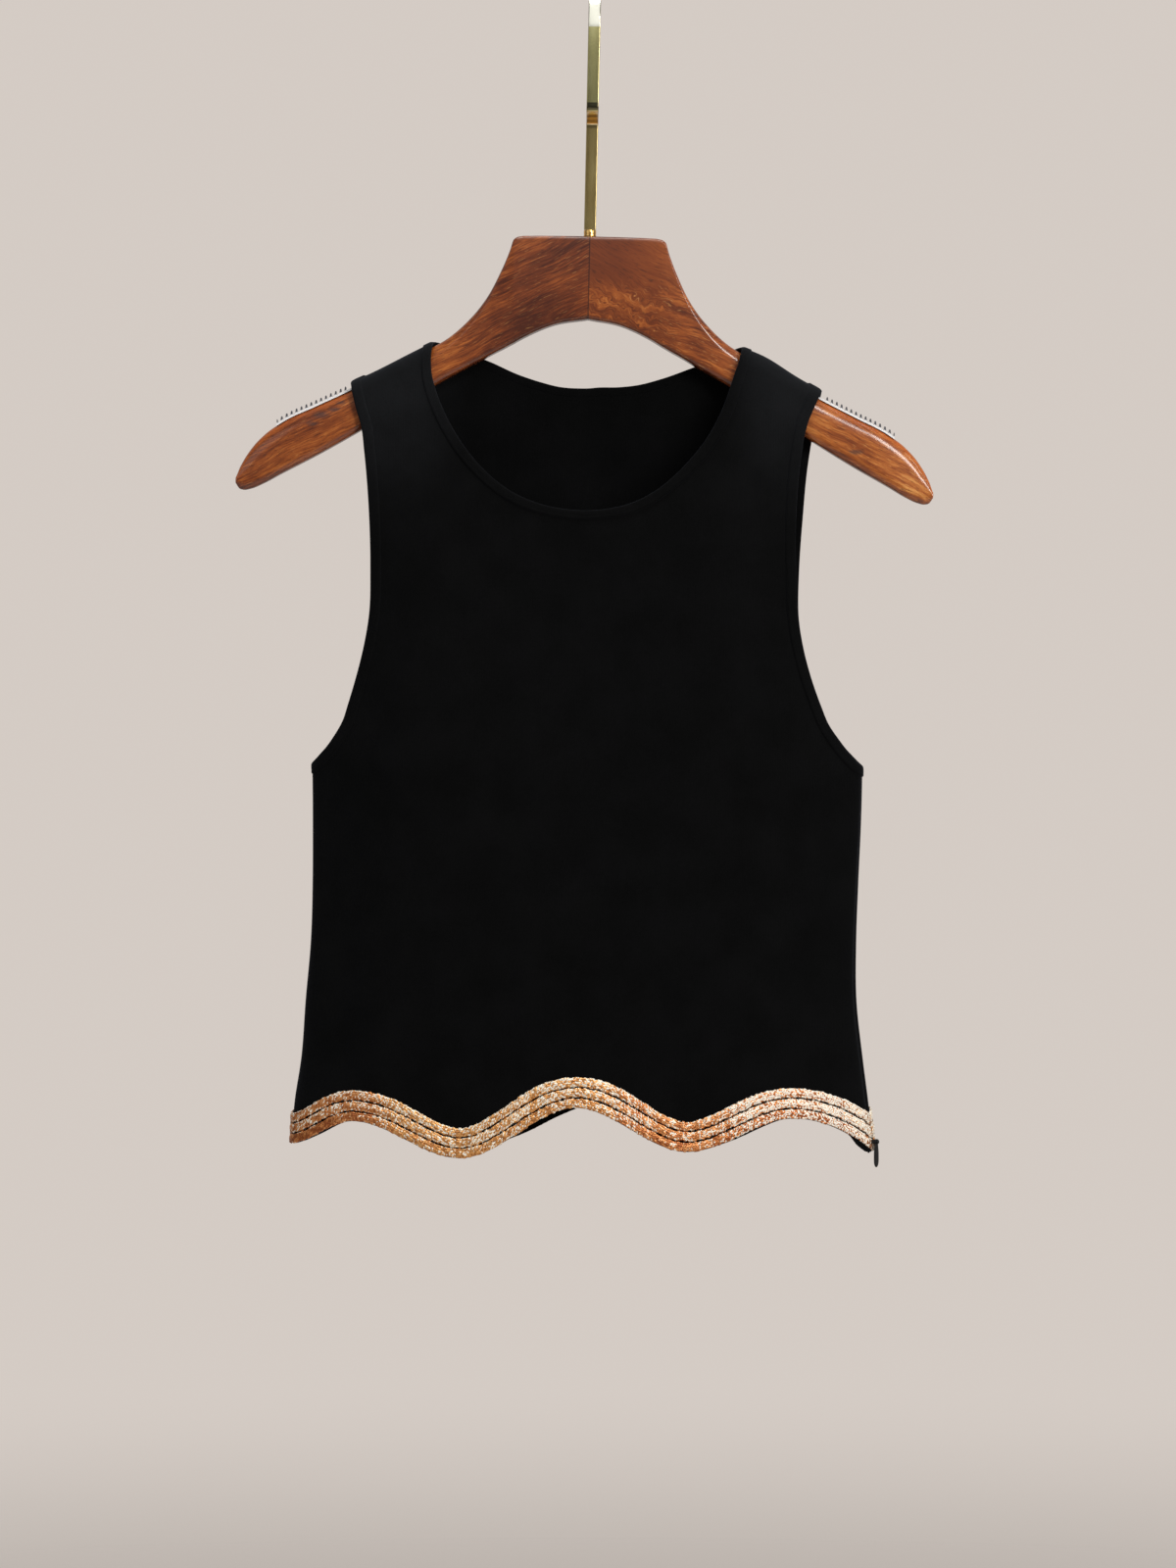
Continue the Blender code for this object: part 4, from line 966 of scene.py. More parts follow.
def clothPanel(name, face):
    # both sides of the wall over the merged grids, closed by a rim round every free edge
    grids = panelGrids(face)
    starts = np.cumsum([0] + [grid.shape[0] * grid.shape[1] for grid in grids])
    flat = np.concatenate([grid.reshape(-1, 2) for grid in grids])
    quads = np.concatenate([gridQuads(*grid.shape[:2]) + start
                            for grid, start in zip(grids, starts)])
    _, kept, merged = np.unique(np.round(flat, 4), axis=0, return_index=True, return_inverse=True)
    flat, quads = flat[kept], merged.ravel()[quads]
    arc, height = flat.T
    besideSeam = height < hung["underarm"] + panel["sideTop"]
    toSide = np.where(besideSeam, halfGirth(arc, height) - np.abs(arc), np.inf)
    toSeam = np.minimum(toSide, seamHeight(hang(arc, height, face)[:, 0]) - height)
    dip = panel["seamDip"] * np.exp(-(toSeam / panel["seamReach"]) ** 2)
    outer = clothPoints(arc, height, face, -dip)
    inner = clothPoints(arc, height, face, -panel["wall"])
    count = len(flat)
    starts, ends = quads.ravel(), np.roll(quads, -1, axis=1).ravel()
    free = ~np.isin(starts * count + ends, ends * count + starts)
    rim = np.stack((ends, starts, starts + count, ends + count), axis=1)[free]
    cells = np.concatenate((quads, quads[:, ::-1] + count, rim))
    shape = (np.concatenate((outer, inner)), cells, np.concatenate((flat, flat)))
    area = 0.5 * np.abs(np.cross(flat[quads[:, 2]] - flat[quads[:, 0]],
                                 flat[quads[:, 3]] - flat[quads[:, 1]])).sum()
    return addMesh(name, shape, sharp=60.0), (*np.ptp(flat, axis=0), area)


band = {
    "inside": -1.6,                    # mm from the cloth's outer side
    "outside": 0.75,
    "sides": 20,
    "squareness": 0.7,
    "step": 1.5,                       # mm between its rings
    "ridge": 0.22,                     # the raised line where it is sewn on
    "ridgeAt": (0.72, 0.16),           # its place across the band, of -1 to 1, and its reach
}


def bandRing(width):
    # a rounded-square section, with a slight ridge along the sewn edge
    angle = fullTurn(band["sides"])
    across, out = (softened(v, band["squareness"]) for v in (np.cos(angle), np.sin(angle)))
    middle, half = (band["outside"] + band["inside"]) / 2, (band["outside"] - band["inside"]) / 2
    place, reach = band["ridgeAt"]
    ridge = band["ridge"] * np.exp(-((across - place) / reach) ** 2) * (out > 0)
    return width / 2 * (1 + across), middle + half * out + ridge


def armholeBand(name, side):
    # up the front from the underarm, over the shoulder and down the back
    line = armholes[side]
    across, out = bandRing(hung["armBand"])
    lengths = np.linspace(0.0, line.length, int(line.length / band["step"]))
    edge = line.edge(*np.broadcast_arrays(lengths[:, None], across))
    up = clothPoints(edge[..., 0], edge[..., 1], front, out)
    down = clothPoints(edge[..., 0], edge[..., 1], back, out)[-2:0:-1]
    along = np.concatenate((lengths, 2 * line.length - lengths[-2:0:-1]))
    return addMesh(name, tube(np.concatenate((up, down)), True, along)), 2 * line.length


def neckBand(name):
    # round the front from the seam on +X, and round the back to it again
    across, out = bandRing(hung["neckBand"])
    rings, along, start = [], [], 0.0
    for face in faces.values():
        keys = lengthsAlong(neckEdge(face, np.linspace(0, math.pi, 1201), 0.0))
        even = np.linspace(0, keys[-1], int(keys[-1] / band["step"]))
        angles = math.pi * np.interp(even, keys, np.linspace(0, 1, len(keys)))
        if face == back:
            angles = angles[-2:0:-1]
        grown = neckEdge(face, angles[:, None] + np.zeros(len(across)), across)
        rings.append(clothPoints(grown[..., 0], grown[..., 1], face, out))
        along.append(start + np.linspace(0, keys[-1], len(angles)))
        start += keys[-1]
    shape = tube(np.concatenate(rings), True, np.concatenate(along))
    return addMesh(name, shape), start


panels, cuts, bandLengths = {}, {}, {}
for name, face in faces.items():
    panels[name], cuts[name] = clothPanel(name + "Panel", face)
    dress(panels[name], finishes["panel"], [name + "_panel"])
print("panels cut, mm wide, mm long, mm2:", {name: np.round(cut) for name, cut in cuts.items()})

bands = {}
bands["neck"], bandLengths["neck"] = neckBand("neckBand")
dress(bands["neck"], finishes["band"], ["neck_band"])
for name, side in sides.items():
    item, bandLengths[name] = armholeBand("armholeBand" + name.title(), side)
    bands[name] = dress(item, finishes["band"], ["armhole_band_" + name])
print("bands sewn on, mm long:", {name: round(length) for name, length in bandLengths.items()})

trim = {
    "rows": 3,
    "width": 5.45,
    "pitch": 5.95,
    "lay": 0.3,                        # clear of the cloth
    "base": 0.75,
    "crown": 0.45,
    "courses": 4,                      # plaits across a row
    "beadLength": 3.7,
    "beadRise": 0.42,
    "beadTilt": 0.36,
    "beadSlope": 3.4,                  # how soon a bead falls off from its middle
    "wander": (0.6, 2.3),              # mm by which beads shift along a row, and over how many
    "ragged": 0.34,                    # how far its edges wander
    "raggedEvery": 1.6,
    "raggedMost": 400,                 # places along a row where they may
    "endGap": 0.35,                    # clear of the side seams
    "stations": 900,
    "lines": 21,
    "anchors": 4,                      # spans across it between lines laid on the cloth
    "rounding": 0.22,                  # share of its half width
    "paintedTopGleam": 0.7,                   # painted highlight: more glints along its upper edge, which faces the light
    "topFrom": (0.80, 0.12),           # from this share of its width on, over this much of it
    "paintedFootShade": (0.45, 0.9),          # painted shade: fewer glints in the lowest row, which faces down, and fewer still at -X, the less lit side
    "footShadeFrom": (0.72, 0.2),          # from this share of the way there on, over this much of it
    "seed": 7,
}


def beadRelief(along, across, row):
    # staggered domes in courses, each with its own height, tilt and tone
    place = across / trim["width"] * trim["courses"]
    course = np.clip(place.astype(int), 0, trim["courses"] - 1)
    inCourse = place - course - 0.5
    shift, every = trim["wander"]
    stretched = along + shift * np.sin(along / every + course * 2.4 + row)
    number = stretched / trim["beadLength"] + course * 0.5
    bead = np.floor(number).astype(int)
    inBead = number - bead - 0.5
    chance = np.random.default_rng(trim["seed"] + row).random((4, trim["courses"], bead.max() + 2))
    rise, tiltAlong, tiltAcross, tone = chance[:, course, bead]
    dome = [np.clip(1 - trim["beadSlope"] * away ** 2, 0, 1) for away in (inBead, inCourse)]
    dome = np.sqrt(dome[0] * dome[1])
    tilt = (tiltAlong - 0.5) * inBead + (tiltAcross - 0.5) * inCourse
    height = trim["beadRise"] * (0.45 + 0.55 * rise) * dome + 2 * trim["beadTilt"] * tilt * dome
    return height, tone, 1 - dome


def trimSeats(places, face, row):
    # points on the cloth under a row whose edges are ragged, and the ways out of the cloth there
    spans, width = trim["anchors"], trim["width"]
    anchors = row * trim["pitch"] + np.linspace(0, width, spans + 1)
    height = hemHeight(places[:, None], face, anchors[None, :])
    arc = places[:, None] * halfGirth(places[:, None], height)
    seats, normals = hang(arc, height, face), clothNormals(arc, height, face)
    along, across = lengthsAlong(seats[:, spans // 2]), np.linspace(0, width, trim["lines"])
    chance = np.random.default_rng(trim["seed"] + 31 * row).uniform(-1, 1, (trim["raggedMost"], 2))
    edges = chance[(along / trim["raggedEvery"]).astype(int)] * trim["ragged"]
    share = across / width
    spot = (across + edges[:, :1] * (1 - share) + edges[:, 1:] * share) / width * spans
    low = np.clip(spot.astype(int), 0, spans - 1)
    share, station = (spot - low)[..., None], np.arange(len(along))[:, None]
    seats = seats[station, low] * (1 - share) + seats[station, low + 1] * share
    normals = unit(normals[station, low] * (1 - share) + normals[station, low + 1] * share)
    return seats, normals, along, across


def trimRow(name, face, row):
    # a low crowned strip along the hem, with its beads raised from the top
    places = np.linspace(-1, 1, trim["stations"])
    places = places * (1 - trim["endGap"] / halfGirth(places, hung["hemLevel"]))
    seats, normals, along, across = trimSeats(places, face, row)
    width, share = trim["width"], across / trim["width"]
    number = row + trim["rows"] * int(face > 0)
    relief, tone, dip = beadRelief(*np.broadcast_arrays(along[:, None], across), number)
    # painted highlight along each row's upper edge, strongest on the top row
    paintedGleam = trim["paintedTopGleam"] if row == trim["rows"] - 1 else trim["paintedTopGleam"] / 3
    start, reach = trim["topFrom"]
    tone = tone + paintedGleam * smoothStep((share - start) / reach)
    # painted shade: the lowest row, turned down, gets fewer glints, and fewer still towards -X
    if row == 0:
        fewer, fewest = trim["paintedFootShade"]
        start, reach = trim["footShadeFrom"]
        tone = tone - (fewer + (fewest - fewer) * smoothStep((-places - start) / reach))[:, None]
    middle = 1 - np.abs(share * 2 - 1)
    shoulder = np.sqrt(np.clip(1 - (1 - np.clip(middle / trim["rounding"], 0, 1)) ** 2, 0, 1))
    crown = trim["base"] + trim["crown"] * np.sin(middle * math.pi / 2)
    rise = trim["lay"] + crown * (0.35 + 0.65 * shoulder)      # about a third of it at the edges
    top = seats + normals * (rise + relief * shoulder)[..., None]
    under = (seats + normals * trim["lay"])[:, [-1, 0]]
    rings = np.concatenate((top, under), axis=1)
    shape = tube(rings, False, along, np.append(across, (width + 1, width + 2)))
    values = {label: capped(np.concatenate((value, value[:, [-1, 0]]), axis=1))
              for label, value in (("bead", tone), ("dip", np.maximum(dip, 1 - shoulder)))}
    return addMesh(name, shape, values, 80.0), along[-1]


hemPieces, trimLength = {"front": [], "back": []}, 0.0
for name, face in faces.items():
    for row in range(trim["rows"]):
        item, trimLength = trimRow("%sTrimRow%d" % (name, row + 1), face, row)
        dress(item, finishes["braid"], ["%s_trim_row_%d" % (name, row + 1)])
        hemPieces[name].append(item)
print("trim rows laid, mm long:", round(trimLength))

stitch = {
    "hem": 330.0,                      # mm to sew along
    "every": 5.2,
    "length": 2.0,
    "radius": 0.2,
    "out": 1.3,
    "sides": 6,
    "seed": 3,
}


def capsules(middles, ways, length, radius, count):
    # short rods with blunt round ends, all as one: rings of count points along each way
    turn = np.linspace(0, math.pi, 7)
    offset = -np.cos(turn) * (length / 2)
    width = radius * np.sin(turn) ** 0.5
    circle = circles(ways, count, (0.31, 0.77, 0.55))
    rings = middles[:, None, None] + ways[:, None, None] * offset[None, :, None, None]
    rings = rings + circle[:, None] * width[None, :, None, None]
    starts = np.arange(len(middles))[:, None, None] * (len(turn) * count)
    quads = (gridQuads(len(turn), count, True)[None] + starts).reshape(-1, 4)
    uv = stacked(offset[:, None] + length, fullTurn(count) * radius)
    return rings.reshape(-1, 3), quads, np.tile(uv.reshape(-1, 2), (len(middles), 1))


def trimStitches(name, face):
    # small slanted stitches over the gaps between the rows
    chance = np.random.default_rng(stitch["seed"])
    middles, ways = [], []
    count = int(stitch["hem"] / stitch["every"])
    for gap in range(1, trim["rows"]):
        places = np.linspace(-0.97, 0.97, count) + chance.uniform(-0.008, 0.008, count)
        above = gap * trim["pitch"] - (trim["pitch"] - trim["width"]) / 2
        height = hemHeight(places, face, above)
        arc = places * halfGirth(places, height)
        slant = chance.uniform(-0.6, 0.6, count)
        middles.append(clothPoints(arc, height, face, stitch["out"]))
        ways.append(unit(hang(arc + slant, height + 1.0, face) - hang(arc, height, face)))
    sizes = stitch["length"], stitch["radius"], stitch["sides"]
    return addMesh(name, capsules(np.concatenate(middles), np.concatenate(ways), *sizes))


for name, face in faces.items():
    item = trimStitches(name + "TrimStitches", face)
    dress(item, finishes["thread"])
    hemPieces[name].append(item)
print("trim sewn")

zipper = {
    "top": -486.0,
    "tapeHalf": 8.1,
    "tapeEnd": -0.9,                   # from the hem
    "tapeLevel": -666.0,               # a height near its end, where its girth is read
    "tapeOut": (-1.9, -2.5),           # mm from the cloth's outer side
    "coilTop": 2.0,                    # below the tape's upper end
    "coilShort": 6.0,                  # of the whole way to the hem
    "coilPitch": 1.5,
    "coilRadius": 0.85,
    "coilFlat": 0.6,                   # its depth as a share of its width
    "coilSteps": 12,                   # a turn
    "wireRadius": 0.28,
    "coilOut": -4.3,
    "seat": (157.757, -3.816, -664.5),
    "facing": math.radians(-36.489),   # the level way out of the seam there
    "sliderOff": -0.4,
    "sliderSize": (3.0, 2.2, 4.8),     # across, outwards, up
    "earWidth": 0.7,
    "earHeight": 2.2,
    "earPast": 0.9,                    # beyond the bail's middle
    "bailOut": 4.7,
    "bailRadius": 0.55,
    "eye": (0.90, 1.6, 1.9),           # bore radius, outer radius, width
    "pullLength": 14.6,
    "pullHalfWidth": 2.4,
    "pullThick": 1.0,
}


def zipTape():
    # a strip folded round the side seam, under the cloth
    away = np.linspace(zipper["tapeHalf"], 0, 10)
    place = 1 - away / halfGirth(1.0, zipper["tapeLevel"])
    share = np.linspace(0, 1, 90)[:, None]
    sheets = []
    for out in zipper["tapeOut"]:
        halves = []
        for face in faces.values():
            low = hemHeight(place, face) + zipper["tapeEnd"]
            heights = low + (zipper["top"] - low) * share
            halves.append(clothPoints(halfGirth(1.0, heights) - away, heights, face, out))
        sheets.append(np.concatenate((halves[0], halves[1][:, -2::-1]), axis=1))
    rings = np.concatenate((sheets[0], sheets[1][:, ::-1]), axis=1)
    return addMesh("zipTape", tube(rings), sharp=60.0)


def rod(path, radius, count):
    # circles of count points carried along a line, square to it
    ways = unit(np.gradient(path, axis=0))
    return tube(path[:, None] + radius * circles(ways, count, (0.21, 0.13, 0.97)))


def zipCoil():
    # a helix of wire beside the seam, inside
    length = zipper["top"] - hung["hem"].columns["front"][-1] - zipper["coilShort"]
    turns = length / zipper["coilPitch"]
    turn = np.linspace(0, 2 * math.pi * turns, int(turns * zipper["coilSteps"]))
    heights = zipper["top"] - zipper["coilTop"] - turn / (2 * math.pi) * zipper["coilPitch"]
    girth = halfGirth(1.0, heights)
    middle = clothPoints(girth, heights, front, zipper["coilOut"])
    normal = clothNormals(girth, heights, front)
    sideways = unit(np.cross(normal, (0.0, 0.0, 1.0)))
    turned = np.cos(turn)[:, None] * normal * zipper["coilFlat"] + np.sin(turn)[:, None] * sideways
    return addMesh("zipCoil", rod(middle + zipper["coilRadius"] * turned, zipper["wireRadius"], 6))


def softBlock(middle, size, power, taper=0.0):
    # a superellipsoid: an ellipsoid whose sines and cosines are raised to a power below 1
    down = np.linspace(-math.pi / 2, math.pi / 2, 15)[:, None]
    turn = fullTurn(28)
    ring, z = softened(np.cos(down), power), softened(np.sin(down), power)
    x = ring * softened(np.cos(turn), power) * (1 + taper * z)
    y = ring * softened(np.sin(turn), power)
    return tube((stacked(x, y, z) * np.array(size) / 2 + np.array(middle))[1:-1])


def onSeam(shape):
    # from the slider's own ways, along its bail, out of the seam and up, to its place there
    cosine, sine = math.cos(zipper["facing"]), math.sin(zipper["facing"])
    ways = np.array(((sine, -cosine, 0.0), (cosine, sine, 0.0), (0.0, 0.0, 1.0)))
    return shape[0] @ ways + np.array(zipper["seat"]), shape[1], shape[2]


def zipSlider():
    # a tapered body, two ears and the bail between them
    across, out, tall = zipper["sliderSize"]
    foot, wide = zipper["sliderOff"], zipper["earWidth"]
    parts = [softBlock((0, foot + out / 2, 0), (across, out, tall), 0.4, 0.14)]
    reach = zipper["bailOut"] + zipper["earPast"] - foot
    for side in (-1, 1):
        ear = (side * (across - wide) / 2, foot + reach / 2, 0)
        parts.append(softBlock(ear, (wide, reach, zipper["earHeight"]), 0.5))
    bail = np.linspace(-1, 1, 9)[:, None] * ((across - wide) / 2, 0, 0) + (0, zipper["bailOut"], 0)
    parts.append(rod(bail, zipper["bailRadius"], 14))
    return addMesh("zipSlider", onSeam(gather(*parts)))


def zipPull():
    # a ring on the bail, and below it a thin drop: 72 % wide at its top, all of it 45 % down,
    # and round from 70 % down
    bore, outer, width = zipper["eye"]
    turn, section = fullTurn(32)[:, None], fullTurn(16)
    radius = (bore + outer) / 2 + (outer - bore) / 2 * softened(np.cos(section), 0.6)
    wide = width / 2 * softened(np.sin(section), 0.6)
    ring = stacked(wide, radius * np.cos(turn), radius * np.sin(turn))
    t = (1 - np.cos(np.linspace(0, math.pi, 40)))[:, None] / 2
    widening = 0.72 + 0.28 * smoothStep(t / 0.45)
    closing = np.sqrt(np.clip(1 - (np.clip(t - 0.70, 0, 1) / 0.30) ** 2, 0, 1))
    around = fullTurn(24)
    x = zipper["pullHalfWidth"] * widening * closing * softened(np.cos(around), 0.75)
    y = zipper["pullThick"] / 2 * closing ** 0.4 * softened(np.sin(around), 0.75)
    start = bore + 0.15
    z = -(start + (zipper["pullLength"] - start) * t)
    points, quads, uv = gather(tube(ring, True), tube(stacked(x, y, z)))
    return addMesh("zipPull", onSeam((points + (0, zipper["bailOut"], 0), quads, uv)))


zipPieces = [dress(zipTape(), finishes["tape"], ["zip_tape"]),
             dress(zipCoil(), finishes["metal"]),
             dress(zipSlider(), finishes["metal"], ["zip_slider"])]
dress(zipPull(), finishes["metal"], ["zip_pull"], "pull")
print("zip set in")

hanger = {
    "tip": 200.6,
    "thick": 12.0,
    "tipThick": 8.0,
    "thinning": (165.0, 38.0),         # from here on, over this length
    "stations": ((0.01, 40.0, 21), (40.0, 62.0, 44), (62.0, 180.0, 59), (180.0, 200.6, 25)),
    "rounds": Rows("out top low stretch", (0.0, 2.4, 2.4, 1.0), (46.0, 2.4, 2.4, 1.1),
                   (70.0, 4.6, 3.2, 1.5), (100.0, 5.4, 3.4, 1.9), (202.0, 5.4, 3.4, 1.9)),
    "outline": Rows("out top low", (0.0, -143.6, -191.2), (20.0, -143.8, -194.9),
                    (34.0, -144.1, -201.0), (40.0, -144.5, -204.3), (42.6, -145.4, -205.9),
                    (44.3, -147.4, -206.8), (45.2, -150.6, -207.3), (48.0, -158.4, -208.9),
                    (52.0, -167.6, -211.0), (56.0, -175.8, -213.2),
                    (62.0, -185.2, -216.7), (70.0, -194.5, -221.1), (80.0, -203.4, -226.8),
                    (90.0, -209.6, -232.9), (112.0, -221.6, -246.8), (135.0, -234.4, -261.3),
                    (155.0, -244.2, -273.0), (175.0, -254.2, -283.9), (185.0, -261.6, -289.6),
                    (192.0, -269.3, -292.7), (197.0, -277.2, -293.4), (199.2, -281.8, -292.5),
                    (200.6, -286.2, -290.2)),
}


def leaned(points):
    # turned about the rail with the hanger
    x, y, z = np.moveaxis(points, -1, 0)
    cosine, sine = math.cos(lean), math.sin(lean)
    return stacked(x * cosine + z * sine, y, z * cosine - x * sine)


def hangerHalf(name, side):
    # upright sections along the arm with elliptic corners, closed by a round tip and a flat joint
    out = [np.linspace(*span, endpoint=False) for span in hanger["stations"]]
    out = np.append(np.concatenate(out), hanger["tip"])
    top, low = hanger["outline"].read("top", out), hanger["outline"].read("low", out)
    start, length = hanger["thinning"]
    thinner = (hanger["thick"] - hanger["tipThick"]) * smoothStep((out - start) / length)
    half = (hanger["thick"] - thinner) / 2
    limit = np.minimum(half - 0.4, (top - low) / 2 - 0.4)
    stretch = hanger["rounds"].read("stretch", out)
    rings, heights = [], []
    for turn, facing, level in ((0.5, 1, top), (0.0, 1, low), (-0.5, -1, low), (-1.0, -1, top)):
        radius = hanger["rounds"].read("top" if level is top else "low", out)
        r = np.minimum(radius, limit)[:, None]
        tall = np.minimum(radius * stretch, (top - low) / 2 - 0.2)[:, None]
        angle = math.pi * (turn - 0.5 * np.linspace(0, 1, 12))[None]
        y = facing * (half[:, None] - r) + r * np.cos(angle)
        z = level[:, None] + np.where(level is top, -1, 1) * tall + tall * np.sin(angle)
        rings.append(stacked(out[:, None], y, z))
        heights.append(z - low[:, None])
    rings, heights = np.concatenate(rings, axis=1), np.concatenate(heights, axis=1)
    fromTop = (top - low)[:, None] - heights
    fade = np.linspace(0, math.pi / 2, 8)[1:, None, None]
    middle = rings[-1].mean(0)
    tip = middle + (rings[-1] - middle) * np.cos(fade)
    tip[..., 0] += 0.5 * np.sin(fade[..., 0])
    rings = np.concatenate((rings, tip)) * (side, 1, 1)
    values = {label: capped(np.clip(value / 10, 0, 1), len(tip))       # in cm, up to 1
              for label, value in (("fromLow", heights), ("fromTop", fromTop))}
    return addMesh(name, tube(leaned(rings)), values, 50.0)


for name, side in sides.items():
    item = hangerHalf("hanger" + name.title(), side)
    dress(item, finishes["wood" + name.title()], ["hanger_" + name])
print("hanger carved")

hook = {
    "width": 6.9,
    "thick": 3.0,
    "radius": (22.0, 27.0),            # inside, level and upright
    "tip": -34.0,
    "tipFrom": -30.5,
    "joggle": (-77.0, -74.2),
    "joggleRound": 2.6,
    "corner": 0.45,
    "foot": -139.2,
    "footTo": -110.0,
    "collarTop": -139.5,
    "collarFoot": -143.3,
    "collarRadius": 3.55,
    "pinRadius": 2.0,
    "pinEnd": -157.0,
}


def roundedCorner(before, corner, after, radius):
    # an arc that touches both legs of a corner, as a rational quadratic curve
    before, corner, after = (np.array(p, float) for p in (before, corner, after))
    wayIn, wayOut = unit(corner - before), unit(after - corner)
    turn = math.acos(float(wayIn @ wayOut))
    trimmed = radius * math.tan(turn / 2)
    start, end = corner - wayIn * trimmed, corner + wayOut * trimmed
    t = np.linspace(0, 1, 9)[:, None]
    weight = math.cos(turn / 2)
    blend = (1 - t) ** 2 + 2 * t * (1 - t) * weight + t ** 2
    return (start * (1 - t) ** 2 + corner * 2 * t * (1 - t) * weight + end * t ** 2) / blend


def hookLine():
    # in the YZ plane: up, forward in a joggle, up again and over the rail's place
    level, upright = hook["radius"]
    reach, rise = level + hook["thick"] / 2, upright + hook["thick"] / 2
    low, high = hook["joggle"]
    foot = ((0.0, hook["foot"]), (0.0, hook["footTo"]))
    first = roundedCorner((0.0, hook["foot"]), (0.0, low), (-reach, high), hook["joggleRound"])
    second = roundedCorner(first[-1], (-reach, high), (-reach, -upright), hook["joggleRound"])
    angle = np.linspace(math.pi, 0.0, 61)
    bow = stacked(reach * np.cos(angle), rise * np.sin(angle) - upright)
    tip = ((reach, hook["tipFrom"]), (reach, hook["tip"]))
    return np.concatenate((foot, first, second, bow, tip))


def hookStrip():
    # a flat section with rounded corners, carried along the line
    line = hookLine()
    way = unit(np.gradient(line, axis=0))
    across = stacked(-way[:, 1], way[:, 0])
    corner = hook["corner"]
    turn = np.linspace(0, math.pi / 2, 5)
    x, out = [], []
    for quarter, (signX, signOut) in enumerate(((1, 1), (-1, 1), (-1, -1), (1, -1))):
        angle = turn + quarter * math.pi / 2
        x.append(signX * (hook["width"] / 2 - corner) + corner * np.cos(angle))
        out.append(signOut * (hook["thick"] / 2 - corner) + corner * np.sin(angle))
    x, out = np.concatenate(x), np.concatenate(out)
    rings = stacked(x, line[:, :1] + across[:, :1] * out, line[:, 1:] + across[:, 1:] * out)
    edge = np.broadcast_to(np.abs(x) > hook["width"] / 2 - corner * 0.9, rings.shape[:2])
    return addMesh("hookStrip", tube(leaned(rings)), {"edge": capped(edge)}, 35.0)


def hookCollar():
    # turned about the pin: a collar with a rounded top and a fine groove
    r, pin = hook["collarRadius"], hook["pinRadius"]
    top, foot = hook["collarTop"], hook["collarFoot"]
    profile = np.array(((pin, hook["pinEnd"]), (pin, foot), (r - 0.2, foot), (r, foot + 0.2),
                        (r, foot + 1.1), (r - 0.25, foot + 1.25), (r - 0.25, foot + 1.5),
                        (r, foot + 1.65), (r, top - 0.45), (r - 0.12, top - 0.15), (r - 0.4, top)))
    turn, radius = fullTurn(40), profile[:, :1]
    rings = stacked(radius * np.cos(turn), radius * np.sin(turn), profile[:, 1:])
    values = {"edge": capped(np.ones(rings.shape[:2]))}
    return addMesh("hookCollar", tube(leaned(rings)), values, 30.0)


dress(hookStrip(), finishes["strip"], ["hook_strip"])
dress(hookCollar(), finishes["collar"], ["hook_collar"])
print("hook bent")

grip = {
    "start": 122.0,
    "end": 178.0,
    "pitch": 2.8,
    "base": 0.9,
    "tall": 3.5,                       # teeth clear of the cloth
    "pressed": 1.1,                    # teeth under it
    "freeFrom": 139.0,
    "ramp": 2.0,
    "lay": 0.3,
    "step": 0.10,
    "tooth": (0.46, 0.20),             # a tooth's share of the pitch at its foot and its tip
    "round": 5.2,                      # the arm's, under the strip
}


def gripStrip(name, side):
    # a low strip on the arm's top whose height rises in upright teeth with straight flanks
    out = np.arange(grip["start"], grip["end"], grip["step"])
    wood = hanger["outline"].read("top", out)
    phase = (out - grip["start"]) / grip["pitch"] + 0.5
    away = np.abs(phase - np.floor(phase) - 0.5) * 2
    foot, tip = grip["tooth"]
    tooth = np.clip((foot - away) / (foot - tip), 0, 1)
    free = smoothStep((out - grip["freeFrom"]) / grip["ramp"] + 1)
    tall = grip["pressed"] + (grip["tall"] - grip["pressed"]) * free
    rise = grip["base"] + (tall - grip["base"]) * tooth
    bend = grip["round"]
    flat = hanger["thick"] / 2 - bend
    edge = flat + bend * 0.5
    y = np.array((-1, -0.6, -0.25, 0, 0.25, 0.6, 1, 1, 0.6, 0, -0.6, -1)) * edge
    isTop = np.array((0,) * 7 + (1,) * 5)
    fall = bend - np.sqrt(np.clip(bend ** 2 - (np.abs(y) - flat) ** 2, 0, None))
    sag = np.where(np.abs(y) > flat, fall, 0.0)
    foot = wood[:, None] - sag + grip["lay"]
    head = wood[:, None] + rise[:, None] - 0.25 * (np.abs(y) / edge) ** 4
    rings = stacked(out[:, None], y, np.where(isTop, head, foot)) * (side, 1, 1)
    values = {"rise": capped(isTop * (rise[:, None] / grip["tall"]))}
    return addMesh(name, tube(leaned(rings)), values, 50.0)


for name, side in sides.items():
    item = gripStrip("gripStrip" + name.title(), side)
    dress(item, finishes["grip"], ["grip_strip_" + name])
print("grips laid")

sewnOn = {"front": hemPieces["front"] + zipPieces + list(bands.values()),
          "back": hemPieces["back"]}

